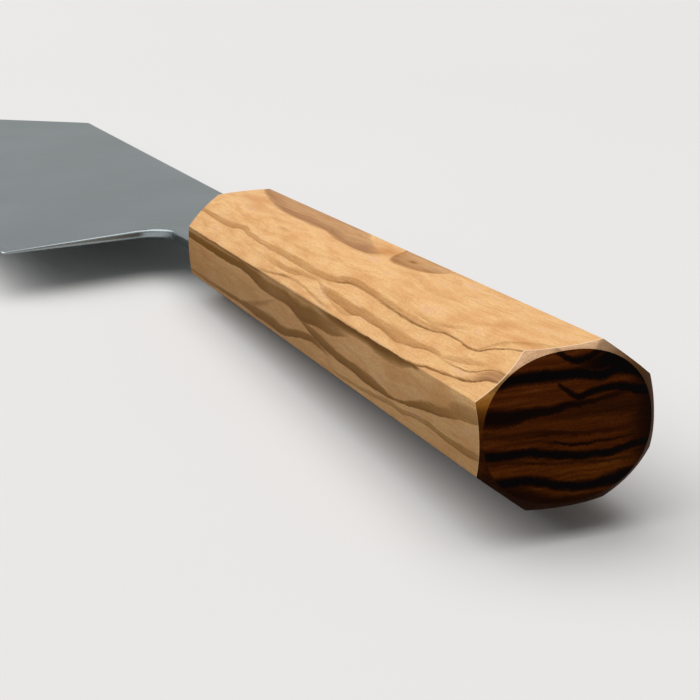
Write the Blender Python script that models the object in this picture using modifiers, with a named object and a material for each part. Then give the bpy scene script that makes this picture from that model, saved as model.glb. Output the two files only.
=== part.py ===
# A bunka kitchen knife: a wide blade with an angled tip and a hidden tang,
# glued into an eight-sided handle made from one block of olive wood.
#
# The knife lies on its side. X runs from the butt to the tip, +Y points to
# the cutting edge and +Z is square to the blade's face. The pieces are worked
# out from the point where the handle's axis meets its front face, and an empty
# carries them all, so that the origin is under the middle of the knife.

import bmesh
import bpy
from math import cos, hypot, pi, radians, sin, tan
from mathutils import Matrix, Vector

MM = 0.001

# Handle, whose width lies in the plane of the blade
HANDLE_LENGTH = 125.0 * MM
BUTT_WIDTH = 25.0 * MM
BUTT_HEIGHT = 21.3 * MM
FRONT_WIDTH = 20.7 * MM
FRONT_HEIGHT = 18.1 * MM
BUTT_CORNER_WIDTH = 6.9 * MM      # what a corner flat takes off the width
BUTT_CORNER_HEIGHT = 5.7 * MM     # and off the height
FRONT_CORNER_WIDTH = 5.6 * MM
FRONT_CORNER_HEIGHT = 4.9 * MM
LONG_EDGE_EASE = 0.12 * MM        # sanded edges between the eight flats
BUTT_RIM = 0.65 * MM              # from each main flat in to the end oval
BUTT_SHIFT = 0.3 * MM             # how far that oval is off the axis, to the edge and up
FRONT_RIM = 0.3 * MM
FRONT_SHIFT = 0.0 * MM
OVAL_POWER = 2.2                  # 2 is an ellipse, more is fuller at its corners
END_BEVEL_ANGLE = radians(47.0)   # from the end face to the bevel round it

# Blade outline
BLADE_LENGTH = 167.0 * MM         # choil to tip, to which the heel's lean adds
HEEL_HEIGHT = 49.1 * MM           # spine to edge at the heel
HEEL_LEAN = radians(4.0)          # how far the heel leans back to the handle
TIP_RISE = 7.7 * MM               # how far the edge climbs to the tip
BELLY_POWER = 2.3                 # how late along the edge it climbs
CLIP_ANGLE = radians(41.0)        # between the spine and the angled tip
SPINE_OFFSET = 9.0 * MM           # handle's axis to the spine
NECK_LENGTH = 15.3 * MM           # handle's face to the back of the choil
NECK_HEIGHT = 18.6 * MM
CHOIL_RADIUS = 5.0 * MM
TIP_BLUNT = 0.5 * MM              # height left at the very tip

# Blade thickness
NECK_THICKNESS = 2.4 * MM
HEEL_SPINE_THICKNESS = 2.2 * MM
TIP_SPINE_THICKNESS = 1.7 * MM    # where the spine would end without the clip
BEHIND_EDGE_THICKNESS = 0.4 * MM
EDGE_THICKNESS = 0.1 * MM
EDGE_BEVEL_WIDTH = 0.9 * MM
FACE_CONVEXITY = 1.25             # 1 is a flat grind
BLADE_EDGE_EASE = 0.45 * MM       # rounded spine, heel, choil and neck
EASE_SHARE = 0.6                  # of the half thickness that the ease may take
BEVEL_SHARE = 0.3                 # of the blade's height that the edge bevel may take

# Tang, its slot and the resin round it
TANG_LENGTH = 88.0 * MM
TANG_ROOT_HEIGHT = 12.0 * MM
TANG_END_HEIGHT = 7.0 * MM
TANG_STEP = 0.2 * MM              # how far the neck's faces stand proud
TANG_END_THICKNESS = 1.6 * MM
TANG_OVERLAP = 3.0 * MM           # length of tang inside the neck's outline
BEDDING_WALL = 0.5 * MM
FIT_GAP = 0.3 * MM                # left between pieces that touch

# Mesh counts
OVAL_SIDES = 64
NECK_STEPS = 2
CHOIL_STEPS = 9
FACE_STEP = 5.0 * MM              # along the blade
UPPER_ROWS = 6                    # spine to the level of the choil
LOWER_ROWS = 6                    # choil to the edge bevel
EASE_STEPS = 3
SLOT_END_STEPS = 8
OVERSHOOT = 1.0 * MM              # how far cutters pass the faces they cut
WELD_DISTANCE = 0.01 * MM         # points closer than this become one
CORNER_SPREAD = 0.5               # least cosine at which a sharp corner is inset
SHARP_WOOD = radians(20.0)        # edges steeper than this stay crisp
SHARP_STEEL = radians(25.0)
SHARP_RESIN = radians(30.0)

# Places that follow
shoulder_x = FIT_GAP
choil_radius = min(CHOIL_RADIUS, NECK_LENGTH - shoulder_x - FIT_GAP)
choil_x = NECK_LENGTH - choil_radius      # middle of the choil's arc
heel_x = choil_x + choil_radius * cos(HEEL_LEAN)
tip_x = heel_x + BLADE_LENGTH
end_x = tip_x - TIP_BLUNT / tan(CLIP_ANGLE)
spine_y = -SPINE_OFFSET
neck_y = spine_y + NECK_HEIGHT
heel_y = spine_y + HEEL_HEIGHT
clip_x = tip_x - (HEEL_HEIGHT - TIP_RISE) / tan(CLIP_ANGLE)
choil_y = neck_y + choil_radius * (1.0 + sin(HEEL_LEAN))
tang_root_thickness = NECK_THICKNESS - 2 * TANG_STEP
slot_wall = FIT_GAP + BEDDING_WALL + FIT_GAP
slot_width = TANG_ROOT_HEIGHT + 2 * slot_wall
slot_thickness = tang_root_thickness + 2 * slot_wall
slot_depth = TANG_LENGTH + slot_wall


def clear_scene():
    for old in list(bpy.data.objects):
        bpy.data.objects.remove(old, do_unlink=True)


def new_collection(name):
    collection = bpy.data.collections.new(name)
    bpy.context.scene.collection.children.link(collection)
    return collection


def new_material(name, colour, roughness, metallic):
    material = bpy.data.materials.new(name)
    material.use_nodes = True
    shader = material.node_tree.nodes["Principled BSDF"]
    shader.inputs["Base Color"].default_value = (*colour, 1.0)
    shader.inputs["Roughness"].default_value = roughness
    shader.inputs["Metallic"].default_value = metallic
    return material


def add_object(name, bm, collection, carrier, material=None):
    bmesh.ops.recalc_face_normals(bm, faces=bm.faces)
    mesh = bpy.data.meshes.new(name)
    bm.to_mesh(mesh)
    bm.free()
    obj = bpy.data.objects.new(name, mesh)
    collection.objects.link(obj)
    obj.parent = carrier
    if material:
        mesh.materials.append(material)
    return obj


def make_cutter(obj):
    obj.hide_render = True
    obj.display_type = "WIRE"
    return obj


def add_boolean(obj, tool, operation):
    modifier = obj.modifiers.new(tool.name, "BOOLEAN")
    modifier.operation = operation
    modifier.object = tool
    modifier.solver = "EXACT"


def shade(obj, angle):
    obj.data.shade_smooth()
    obj.data.set_sharp_from_angle(angle=angle)


def blend(start, end, share):
    return start + (end - start) * share


def smooth_step(share):
    share = min(max(share, 0.0), 1.0)
    return share * share * (3.0 - 2.0 * share)


# Handle

def handle_size(x):
    # Half width, half height and the two corner cuts of the octagon at x
    share = -x / HANDLE_LENGTH
    return (
        blend(FRONT_WIDTH, BUTT_WIDTH, share) / 2,
        blend(FRONT_HEIGHT, BUTT_HEIGHT, share) / 2,
        blend(FRONT_CORNER_WIDTH, BUTT_CORNER_WIDTH, share),
        blend(FRONT_CORNER_HEIGHT, BUTT_CORNER_HEIGHT, share),
    )


def octagon(bm, x):
    half_width, half_height, corner_width, corner_height = handle_size(x)
    flat_y = half_width - corner_width
    flat_z = half_height - corner_height
    quarter = [(half_width, flat_z), (flat_y, half_height)]
    ring = quarter + [(-y, z) for y, z in reversed(quarter)]
    ring += [(-y, -z) for y, z in ring]
    return [bm.verts.new((x, y, z)) for y, z in ring]


def handle_block():
    bm = bmesh.new()
    back = octagon(bm, -HANDLE_LENGTH - OVERSHOOT)
    front = octagon(bm, OVERSHOOT)
    bm.faces.new(back)
    bm.faces.new(front)
    for i in range(len(back)):
        j = (i + 1) % len(back)
        bm.faces.new((back[i], back[j], front[j], front[i]))
    return bm


def fullness(y, z):
    # How much further out the oval lies than a circle, in this direction
    away = hypot(y, z)
    return (abs(y / away) ** OVAL_POWER + abs(z / away) ** OVAL_POWER) ** (-1.0 / OVAL_POWER)


def end_cone(x, half_width, half_height, shift, inward):
    # A cone that starts as the end's oval and widens along the whole handle
    depth = HANDLE_LENGTH + 2 * OVERSHOOT
    growth = 1.0 + depth / tan(END_BEVEL_ANGLE) / half_width
    bm = bmesh.new()
    bmesh.ops.create_cone(
        bm, cap_ends=True, segments=OVAL_SIDES, radius1=1.0, radius2=growth, depth=depth
    )
    bmesh.ops.translate(bm, verts=bm.verts, vec=(0, 0, depth / 2))
    for vert in bm.verts:
        vert.co.xy *= fullness(vert.co.x, vert.co.y)
    bmesh.ops.scale(bm, verts=bm.verts, vec=(half_height, half_width, 1.0))
    turn = Matrix.Rotation(inward * pi / 2, 4, "Y")
    bmesh.ops.transform(bm, matrix=Matrix.Translation((x, shift, shift)) @ turn, verts=bm.verts)
    return bm


def slot_solid(width, thickness, start_x, end_x):
    # A slot's shape with round ends, drawn as a flat outline and pulled along X
    curve = bpy.data.curves.new("slot_outline", "CURVE")
    curve.dimensions = "2D"
    curve.fill_mode = "BOTH"
    curve.extrude = abs(start_x - end_x) / 2
    radius = thickness / 2
    points = []
    for side in (1, -1):
        for i in range(SLOT_END_STEPS + 1):
            angle = pi * i / SLOT_END_STEPS
            points.append((side * radius * cos(angle), side * (width / 2 - radius + radius * sin(angle))))
    spline = curve.splines.new("POLY")
    spline.points.add(len(points) - 1)
    for point, (z, y) in zip(spline.points, points):
        point.co = (z, y, 0.0, 1.0)
    spline.use_cyclic_u = True
    outline = bpy.data.objects.new("slot_outline", curve)
    bpy.context.scene.collection.objects.link(outline)
    evaluated = outline.evaluated_get(bpy.context.evaluated_depsgraph_get())
    mesh = bpy.data.meshes.new_from_object(evaluated)
    bm = bmesh.new()
    bm.from_mesh(mesh)
    bmesh.ops.remove_doubles(bm, verts=bm.verts, dist=WELD_DISTANCE)
    turn = Matrix.Rotation(pi / 2, 4, "Y")
    place = Matrix.Translation(((start_x + end_x) / 2, 0, 0)) @ turn
    bmesh.ops.transform(bm, matrix=place, verts=bm.verts)
    bpy.data.objects.remove(outline, do_unlink=True)
    bpy.data.meshes.remove(mesh)
    return bm


def make_handle(parts, cutters, carrier):
    wood = new_material("olive_wood", (0.62, 0.34, 0.13), 0.45, 0.0)
    handle = add_object("handle", handle_block(), parts, carrier, wood)
    ease = handle.modifiers.new("eased_edges", "BEVEL")
    ease.width = LONG_EDGE_EASE
    ease.segments = 2
    ease.limit_method = "ANGLE"
    ease.angle_limit = SHARP_WOOD
    ends = (
        ("butt_cone", -HANDLE_LENGTH, BUTT_WIDTH, BUTT_HEIGHT, BUTT_RIM, BUTT_SHIFT, 1),
        ("front_cone", 0.0, FRONT_WIDTH, FRONT_HEIGHT, FRONT_RIM, FRONT_SHIFT, -1),
    )
    for name, x, width, height, rim, shift, inward in ends:
        cone = end_cone(x, width / 2 - rim, height / 2 - rim, shift, inward)
        add_boolean(handle, make_cutter(add_object(name, cone, cutters, carrier)), "INTERSECT")
    slot = slot_solid(slot_width, slot_thickness, OVERSHOOT, -slot_depth)
    add_boolean(handle, make_cutter(add_object("tang_slot", slot, cutters, carrier)), "DIFFERENCE")
    shade(handle, SHARP_WOOD)
    return handle


# Blade

def edge_y(x):
    share = max(x - heel_x, 0.0) / BLADE_LENGTH
    return heel_y - TIP_RISE * share ** BELLY_POWER


def upper_y(x):
    return spine_y + max(x - clip_x, 0.0) * tan(CLIP_ANGLE)


def bevel_y(x):
    # Where the thin bevel along the cutting edge begins
    height = edge_y(x) - upper_y(x)
    return edge_y(x) - min(EDGE_BEVEL_WIDTH, BEVEL_SHARE * height)


def half_thickness(x, y):
    along = max(x - heel_x, 0.0) / BLADE_LENGTH
    spine = blend(HEEL_SPINE_THICKNESS, TIP_SPINE_THICKNESS, along) / 2
    start = bevel_y(max(x, heel_x))
    down = min(max((y - spine_y) / (start - spine_y), 0.0), 1.0)
    ground = blend(BEHIND_EDGE_THICKNESS / 2, spine, 1.0 - down ** FACE_CONVEXITY)
    if y > start:
        across = min((y - start) / (edge_y(max(x, heel_x)) - start), 1.0)
        ground = blend(BEHIND_EDGE_THICKNESS, EDGE_THICKNESS, across) / 2
    return blend(NECK_THICKNESS / 2, ground, smooth_step(x / heel_x))


def leaned(x, y):
    # The heel's lean, which fades out towards the tip
    fade = 1.0 - (x - heel_x) / BLADE_LENGTH
    return x - tan(HEEL_LEAN) * max(y - choil_y, 0.0) * fade


def neck_columns():
    # Pairs of upper and lower points from the shoulder to the choil
    columns = []
    for i in range(NECK_STEPS):
        x = blend(shoulder_x, choil_x, i / NECK_STEPS)
        columns.append(((x, spine_y), (x, neck_y)))
    for i in range(CHOIL_STEPS):
        angle = (pi / 2 + HEEL_LEAN) * i / CHOIL_STEPS
        low = (choil_x + choil_radius * sin(angle), neck_y + choil_radius * (1.0 - cos(angle)))
        columns.append(((blend(choil_x, heel_x, i / CHOIL_STEPS), spine_y), low))
    return [
        [
            (blend(top[0], low[0], row / UPPER_ROWS), blend(top[1], low[1], row / UPPER_ROWS))
            for row in range(UPPER_ROWS + 1)
        ]
        for top, low in columns
    ]


def face_column(x):
    # Points down the blade's face at x, with the last one on the edge
    top = upper_y(x)
    reach = bevel_y(x) - top
    choil_share = (choil_y - spine_y) / (bevel_y(heel_x) - spine_y)
    shares = [choil_share * row / UPPER_ROWS for row in range(UPPER_ROWS)]
    shares += [blend(choil_share, 1.0, row / LOWER_ROWS) for row in range(LOWER_ROWS + 1)]
    return [(x, top + reach * share) for share in shares] + [(x, edge_y(x))]


def face_places():
    # X of each column from the heel to the tip, with one at the clip's corner
    places = []
    for start, end in ((heel_x, clip_x), (clip_x, end_x)):
        steps = max(round((end - start) / FACE_STEP), 1)
        places += [blend(start, end, i / steps) for i in range(steps)]
    return places + [end_x]


def blade_outline(neck, face):
    # The outline's points in order, each with whether it is on the cutting edge
    spine = [(column, 0) for column in neck + face]
    tip = [(face[-1], row) for row in range(1, len(face[-1]) - 1)]
    edge = [(column, len(column) - 1) for column in reversed(face)]
    heel = [(face[0], row) for row in range(len(face[0]) - 2, UPPER_ROWS - 1, -1)]
    under = [(column, UPPER_ROWS) for column in reversed(neck)]
    shoulder = [(neck[0], row) for row in range(UPPER_ROWS - 1, 0, -1)]
    return spine + tip + edge + heel + under + shoulder


def inset_direction(before, here, after):
    # Points inward so that both neighbouring sides move in by the same amount
    first = (here - before).normalized()
    second = (after - here).normalized()
    inward = Vector((-first.y - second.y, first.x + second.x)).normalized()
    spread = max(inward.dot(Vector((-second.y, second.x))), CORNER_SPREAD)
    return inward / spread


def half_blade():
    # The blade's upper half, open at its middle plane, with its rounded rim
    neck = neck_columns()
    face = [face_column(x) for x in face_places()]
    bm = bmesh.new()
    points = {}
    columns = neck + face
    for c, column in enumerate(columns):
        for row, (x, y) in enumerate(column):
            place_x = leaned(x, y) if c >= len(neck) else x
            points[c, row] = bm.verts.new((place_x, y, half_thickness(x, y)))
    index = {id(column): c for c, column in enumerate(columns)}
    for c in range(len(columns) - 1):
        rows = min(len(columns[c]), len(columns[c + 1])) - 1
        for row in range(rows):
            bm.faces.new((points[c, row], points[c + 1, row], points[c + 1, row + 1], points[c, row + 1]))
    outline = blade_outline(neck, face)
    places = [points[index[id(column)], row].co.to_2d() for column, row in outline]
    profiles = []
    for i, (column, row) in enumerate(outline):
        top = points[index[id(column)], row]
        place = places[i]
        base = bm.verts.new((place.x, place.y, 0.0))
        if row == len(column) - 1 and len(column) > UPPER_ROWS + 1:
            profiles.append([base] + [top] * (EASE_STEPS + 1))
            continue
        inward = inset_direction(places[i - 1], place, places[(i + 1) % len(places)])
        ease = min(BLADE_EDGE_EASE, EASE_SHARE * top.co.z)
        profile = [base]
        for step in range(EASE_STEPS):
            angle = pi / 2 * step / EASE_STEPS
            side = place + inward * ease * (1.0 - cos(angle))
            profile.append(bm.verts.new((side.x, side.y, top.co.z - ease * (1.0 - sin(angle)))))
        inner = place + inward * ease
        top.co = (inner.x, inner.y, top.co.z)
        profiles.append(profile + [top])
    for i, profile in enumerate(profiles):
        following = profiles[(i + 1) % len(profiles)]
        for step in range(EASE_STEPS + 1):
            corners = [profile[step], following[step], following[step + 1], profile[step + 1]]
            loop = [corner for n, corner in enumerate(corners) if corner not in corners[:n]]
            if len(loop) > 2:
                bm.faces.new(loop)
    return bm


def tang_bar(grow):
    # A bar that tapers to its end, larger all round by the amount given
    bm = bmesh.new()
    bmesh.ops.create_cube(bm, size=2.0)
    for vert in bm.verts:
        at_end = vert.co.x < 0
        x = -TANG_LENGTH - grow if at_end else shoulder_x + TANG_OVERLAP
        half_height = (TANG_END_HEIGHT if at_end else TANG_ROOT_HEIGHT) / 2 + grow
        half_thick = (TANG_END_THICKNESS if at_end else tang_root_thickness) / 2 + grow
        vert.co = (x, half_height * vert.co.y, half_thick * vert.co.z)
    return bm


def make_blade(parts, cutters, carrier):
    steel = new_material("satin_steel", (0.46, 0.48, 0.49), 0.32, 1.0)
    blade = add_object("blade", half_blade(), parts, carrier, steel)
    mirror = blade.modifiers.new("other_side", "MIRROR")
    mirror.use_axis = (False, False, True)
    mirror.merge_threshold = WELD_DISTANCE
    tang = make_cutter(add_object("tang", tang_bar(0.0), cutters, carrier))
    add_boolean(blade, tang, "UNION")
    shade(blade, SHARP_STEEL)
    return blade


# Resin round the tang

def make_bedding(parts, cutters, carrier):
    resin = new_material("dark_resin", (0.03, 0.02, 0.015), 0.4, 0.0)
    outer_width = slot_width - 2 * FIT_GAP
    outer_thickness = slot_thickness - 2 * FIT_GAP
    filling = slot_solid(outer_width, outer_thickness, -FIT_GAP, -slot_depth + FIT_GAP)
    bedding = add_object("tang_bedding", filling, parts, carrier, resin)
    pocket = make_cutter(add_object("tang_pocket", tang_bar(FIT_GAP), cutters, carrier))
    add_boolean(bedding, pocket, "DIFFERENCE")
    shade(bedding, SHARP_RESIN)
    return bedding


def main():
    clear_scene()
    parts = new_collection("bunka_knife")
    cutters = new_collection("cutters")
    carrier = bpy.data.objects.new("knife", None)
    parts.objects.link(carrier)
    carrier.location = (
        (HANDLE_LENGTH - end_x) / 2,
        (BUTT_WIDTH / 2 - heel_y) / 2,
        BUTT_HEIGHT / 2,
    )
    make_handle(parts, cutters, carrier)
    make_blade(parts, cutters, carrier)
    make_bedding(parts, cutters, carrier)


main()
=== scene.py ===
import bmesh
import bpy
from math import atan2, cos, hypot, pi, radians, sin, tan
from mathutils import Matrix, Vector


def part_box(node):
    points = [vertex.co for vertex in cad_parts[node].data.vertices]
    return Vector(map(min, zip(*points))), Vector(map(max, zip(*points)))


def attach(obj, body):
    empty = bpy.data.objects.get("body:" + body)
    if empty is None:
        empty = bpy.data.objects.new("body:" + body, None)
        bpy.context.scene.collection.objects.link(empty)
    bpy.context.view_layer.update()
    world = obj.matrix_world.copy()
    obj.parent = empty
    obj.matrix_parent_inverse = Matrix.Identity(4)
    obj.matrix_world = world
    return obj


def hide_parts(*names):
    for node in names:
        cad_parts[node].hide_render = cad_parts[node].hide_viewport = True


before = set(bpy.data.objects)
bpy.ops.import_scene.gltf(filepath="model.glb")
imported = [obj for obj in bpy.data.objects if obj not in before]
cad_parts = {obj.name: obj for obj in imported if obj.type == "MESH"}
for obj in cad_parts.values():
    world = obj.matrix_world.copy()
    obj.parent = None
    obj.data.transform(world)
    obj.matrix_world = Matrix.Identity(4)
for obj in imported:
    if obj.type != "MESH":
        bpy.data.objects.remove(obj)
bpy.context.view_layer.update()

# A bunka knife on its side: olive wood handle, satin steel blade.
# All shapes are worked out from the point where the handle's axis meets its front face.

mm = 0.001
spineOffset = 9.0 * mm     # from the spine to the handle's axis
handleLow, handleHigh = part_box("handle")
bladeLow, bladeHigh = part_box("blade")
frontPoint = Vector((handleHigh.x, bladeLow.y + spineOffset, (bladeLow.z + bladeHigh.z) / 2))


# Small helpers

def colour(text, lighter=1.0):
    # sRGB hex to the linear values that the shaders use
    channels = [int(text[i:i + 2], 16) / 255 for i in (1, 3, 5)]
    linear = [c / 12.92 if c <= 0.04045 else ((c + 0.055) / 1.055) ** 2.4 for c in channels]
    return (*[min(c * lighter, 1.0) for c in linear], 1.0)


def inMetres(sizes):
    # Lengths from mm to metres; angles, powers, shares and counts stay as they are
    plain = ("Angle", "Lean", "Power", "Share", "Rows", "Steps", "Sides")
    return {name: size if name.endswith(plain) else size * mm for name, size in sizes.items()}


def mix(start, end, share):
    # What lies between two values, at this share of the way
    return start + (end - start) * share


def smooth(share):
    # From 0 to 1 with a soft start and end
    share = min(max(share, 0.0), 1.0)
    return share * share * (3 - 2 * share)


def addNode(tree, kind, inputs=(), output=0, stops=(), **settings):
    # A node with its settings and ramp stops; its inputs, by name or in order, are linked or set
    node = tree.nodes.new("ShaderNode" + kind)
    for name, value in settings.items():
        setattr(node, name, value)
    for name, value in inputs.items() if isinstance(inputs, dict) else enumerate(inputs):
        if isinstance(value, bpy.types.NodeSocket):
            tree.links.new(value, node.inputs[name])
        else:
            node.inputs[name].default_value = colour(value) if isinstance(value, str) else value
    for _ in stops[2:]:
        node.color_ramp.elements.new(0.5)
    for i, (place, shade) in enumerate(stops):
        node.color_ramp.elements[i].position = place
        node.color_ramp.elements[i].color = shade
    return node.outputs[output]


def newMaterial(name):
    # An empty material, ready for a shader
    material = bpy.data.materials.new(name)
    material.use_nodes = True
    tree = material.node_tree
    tree.nodes.clear()
    return material, tree


def finishMaterial(material, tree, shader):
    # The shader goes to the material's surface
    end = tree.nodes.new("ShaderNodeOutputMaterial")
    tree.links.new(shader, end.inputs["Surface"])
    return material


def newObject(name, data):
    # An object in the scene, for a mesh, a lamp or the camera
    thing = bpy.data.objects.new(name, data)
    bpy.context.scene.collection.objects.link(thing)
    return thing


def newPiece(name, bm, materials):
    # A piece from its mesh, with its origin where the handle's axis meets its front face
    mesh = bpy.data.meshes.new(name)
    bm.to_mesh(mesh)
    bm.free()
    for material in materials:
        mesh.materials.append(material)
    piece = newObject(name, mesh)
    piece.location = frontPoint
    return piece


def bakeModifiers(piece):
    # Replaces the piece's mesh with what its modifiers make of it
    graph = bpy.context.evaluated_depsgraph_get()
    mesh = bpy.data.meshes.new_from_object(piece.evaluated_get(graph))
    old = piece.data
    piece.modifiers.clear()
    piece.data = mesh
    bpy.data.meshes.remove(old)


def cutWith(piece, bm, operation):
    # One exact boolean, worked out at once
    tool = newPiece("tool", bm, [])
    modifier = piece.modifiers.new("cut", "BOOLEAN")
    modifier.operation = operation
    modifier.object = tool
    modifier.solver = "EXACT"
    bakeModifiers(piece)
    spare = tool.data
    bpy.data.objects.remove(tool)
    bpy.data.meshes.remove(spare)


# Camera, at the photograph's place: measured from the middle of the butt

view = {
    "fromButt": (-243.1, 123.2, 86.05),   # mm
    "turn": -21.118,                      # degrees to the right of the handle's axis
    "down": 15.378,
    "roll": 2.408,
    "lens": 116.12, "sensor": 36.0,       # mm, for a square frame
    "sees": (0.01, 50.0),                 # metres, the nearest and the furthest
}


def makeCamera():
    data = bpy.data.cameras.new("camera")
    data.lens = view["lens"]
    data.sensor_width = view["sensor"]
    data.clip_start, data.clip_end = view["sees"]
    camera = newObject("camera", data)
    turn, down, roll = (radians(view[key]) for key in ("turn", "down", "roll"))
    forward = Vector((cos(down) * cos(turn), cos(down) * sin(turn), -sin(down)))
    level = Vector((sin(turn), -cos(turn), 0.0))
    low = forward.cross(level)
    right = level * cos(roll) + low * sin(roll)
    up = level * sin(roll) - low * cos(roll)
    butt = Vector((handleLow.x, frontPoint.y, frontPoint.z))
    camera.matrix_world = Matrix((right, up, -forward)).transposed().to_4x4()
    camera.location = butt + Vector(view["fromButt"]) * mm
    bpy.context.scene.camera = camera


makeCamera()
print("camera done")


# Steel

steel = {
    "base": "#9AA3A5",
    "strokeWidth": 0.35,        # mm between strokes of the satin finish, drawn coarse enough to show
    "strokeLength": 14.0,       # mm
    "strokeDetail": (3.0, 0.6),
    "strokeSpread": (0.25, 0.75),
    "bumpStrength": 0.35,
    "cloudSize": 22.0,          # mm, the faint unevenness of hand polishing
    "cloudStops": [(0.3, 0.93), (0.7, 1.05)],     # where in the clouds the steel is darker and lighter
    # Name, roughness, the axis along which its strokes run, how far they change it, and their depth in mm
    "finishes": [
        ("satin ground steel", 0.34, 1, 0.12, 0.004),
        ("polished steel", 0.3, 0, 0.2, 0.001),
        ("honed steel", 0.22, 0, 0.2, 0.002),
    ],
}


def steelMaterial(name, roughness, strokeAxis, strokeShare, bumpHeight):
    # Stainless cutlery steel, ground and rubbed: the strokes blur its reflections across their direction
    material, tree = newMaterial(name)
    place = addNode(tree, "TexCoord", output="Object")
    scale = [1 / (steel["strokeWidth"] * mm)] * 3
    scale[strokeAxis] = 1 / (steel["strokeLength"] * mm)
    stretched = addNode(tree, "Mapping", {"Vector": place, "Scale": scale})
    detail, fineness = steel["strokeDetail"]
    strokes = addNode(tree, "TexNoise", {
        "Vector": stretched, "Scale": 1.0, "Detail": detail, "Roughness": fineness,
    })
    uneven = addNode(tree, "TexNoise", {
        "Vector": place, "Scale": 1 / (steel["cloudSize"] * mm), "Detail": 2.0,
    })
    tint = addNode(tree, "ValToRGB", (uneven,), stops=[
        (where, colour(steel["base"], lighter)) for where, lighter in steel["cloudStops"]
    ])
    rough = addNode(tree, "MapRange", (
        strokes, *steel["strokeSpread"], roughness * (1 - strokeShare), roughness * (1 + strokeShare),
    ))
    bump = addNode(tree, "Bump", {
        "Height": strokes, "Strength": steel["bumpStrength"], "Distance": bumpHeight * mm,
    })
    shader = addNode(tree, "BsdfPrincipled", {
        "Base Color": tint, "Metallic": 1.0, "Roughness": rough, "Normal": bump,
    })
    return finishMaterial(material, tree, shader)


# Blade

# Lengths in mm, angles in degrees
blade = inMetres({
    "length": 167.0, "heelHeight": 49.1, "neckLength": 15.3, "neckHeight": 18.6, "choilRadius": 5.0,
    "tipRise": 7.7, "bellyPower": 2.3,                # how far the edge curves up to the tip, and how late
    "clipAngle": 41.0, "heelLean": 4.0, "tipBlunt": 0.5,
    "neckThickness": 2.4, "heelThickness": 2.2, "tipThickness": 1.7,
    "behindEdge": 0.4, "edge": 0.1, "convexPower": 1.25,
    "edgeBevel": 0.9, "bevelShare": 0.3,              # its width, and the most of the face that it takes
    "ease": 0.45, "easeShare": 0.6,                   # the rim's radius, and the most of the half thickness
    "cornerShare": 0.5,                               # keeps the rim's inset short at sharp corners
    "mirrorJoin": 0.01, "sharpAngle": 24.0,
    "shoulder": 0.3, "tangLength": 88.0, "tangRoot": 12.0, "tangEnd": 7.0,
    "tangThickness": 2.0, "tangEndThickness": 1.6, "tangOverlap": 3.0,
    "faceStep": 2.5, "upperRows": 10, "lowerRows": 12, "choilSteps": 14, "neckSteps": 4, "easeSteps": 5,
})

lean = radians(blade["heelLean"])
choilX = blade["neckLength"] - blade["choilRadius"]     # the middle of the choil's arc
heelX = choilX + blade["choilRadius"] * cos(lean)
tipX = heelX + blade["length"]
spineY = -spineOffset
neckY = spineY + blade["neckHeight"]
heelY = spineY + blade["heelHeight"]
clipSlope = tan(radians(blade["clipAngle"]))
clipX = tipX - (blade["heelHeight"] - blade["tipRise"]) / clipSlope
choilY = neckY + blade["choilRadius"] * (1 + sin(lean))


def leaned(x, y):
    # The heel leans back to the handle, and this fades out towards the tip
    fade = 1 - (x - heelX) / blade["length"]
    return x - tan(lean) * max(y - choilY, 0.0) * fade


def edgeY(x):
    # The cutting edge, which curves up to the tip
    share = max(x - heelX, 0.0) / blade["length"]
    return heelY - blade["tipRise"] * share ** blade["bellyPower"]


def upperY(x):
    # The spine, and from its end on the angled cut down to the tip
    return spineY + max(x - clipX, 0.0) * clipSlope


def bevelY(x):
    # Where the edge's bevel starts
    return edgeY(x) - min(blade["edgeBevel"], blade["bevelShare"] * (edgeY(x) - upperY(x)))


def halfThickness(x, y):
    # From the middle plane to the surface: thick at the spine, convex down to the bevel, then to the edge
    along = max(x - heelX, 0.0) / blade["length"]
    spine = mix(blade["heelThickness"], blade["tipThickness"], along) / 2
    start = bevelY(max(x, heelX))
    down = min(max((y - spineY) / (start - spineY), 0.0), 1.0)
    ground = mix(blade["behindEdge"] / 2, spine, 1 - down ** blade["convexPower"])
    if y > start:
        across = min((y - start) / (edgeY(max(x, heelX)) - start), 1.0)
        ground = mix(blade["behindEdge"], blade["edge"], across) / 2
    return mix(blade["neckThickness"] / 2, ground, smooth(x / heelX))


def neckColumns():
    # Rows of points down the neck, from the shoulder to the choil
    radius = blade["choilRadius"]
    ends = []
    for i in range(blade["neckSteps"]):
        x = mix(blade["shoulder"], choilX, i / blade["neckSteps"])
        ends.append(((x, spineY), (x, neckY)))
    for i in range(blade["choilSteps"]):
        share = i / blade["choilSteps"]
        angle = (pi / 2 + lean) * i / blade["choilSteps"]
        low = (choilX + radius * sin(angle), neckY + radius * (1 - cos(angle)))
        ends.append(((mix(choilX, heelX, share), spineY), low))
    rows = blade["upperRows"]
    return [
        [(mix(top[0], low[0], r / rows), mix(top[1], low[1], r / rows)) for r in range(rows + 1)]
        for top, low in ends
    ]


def faceColumn(x):
    # One row of points across the blade's face, from the spine or the angled tip down to the edge
    top = upperY(x)
    reach = bevelY(x) - top
    upper, lower = blade["upperRows"], blade["lowerRows"]
    choilShare = (choilY - spineY) / (bevelY(heelX) - spineY)
    shares = [choilShare * r / upper for r in range(upper)]
    shares += [mix(choilShare, 1.0, r / lower) for r in range(lower + 1)]
    return [(x, top + reach * share) for share in shares] + [(x, edgeY(x))]


def facePlaces():
    # Where the columns of the face stand, from the heel to the blunted tip
    endX = tipX - blade["tipBlunt"] / clipSlope
    places = []
    for start, end in ((heelX, clipX), (clipX, endX)):
        steps = max(round((end - start) / blade["faceStep"]), 1)
        places += [mix(start, end, i / steps) for i in range(steps)]
    return places + [endX]


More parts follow.
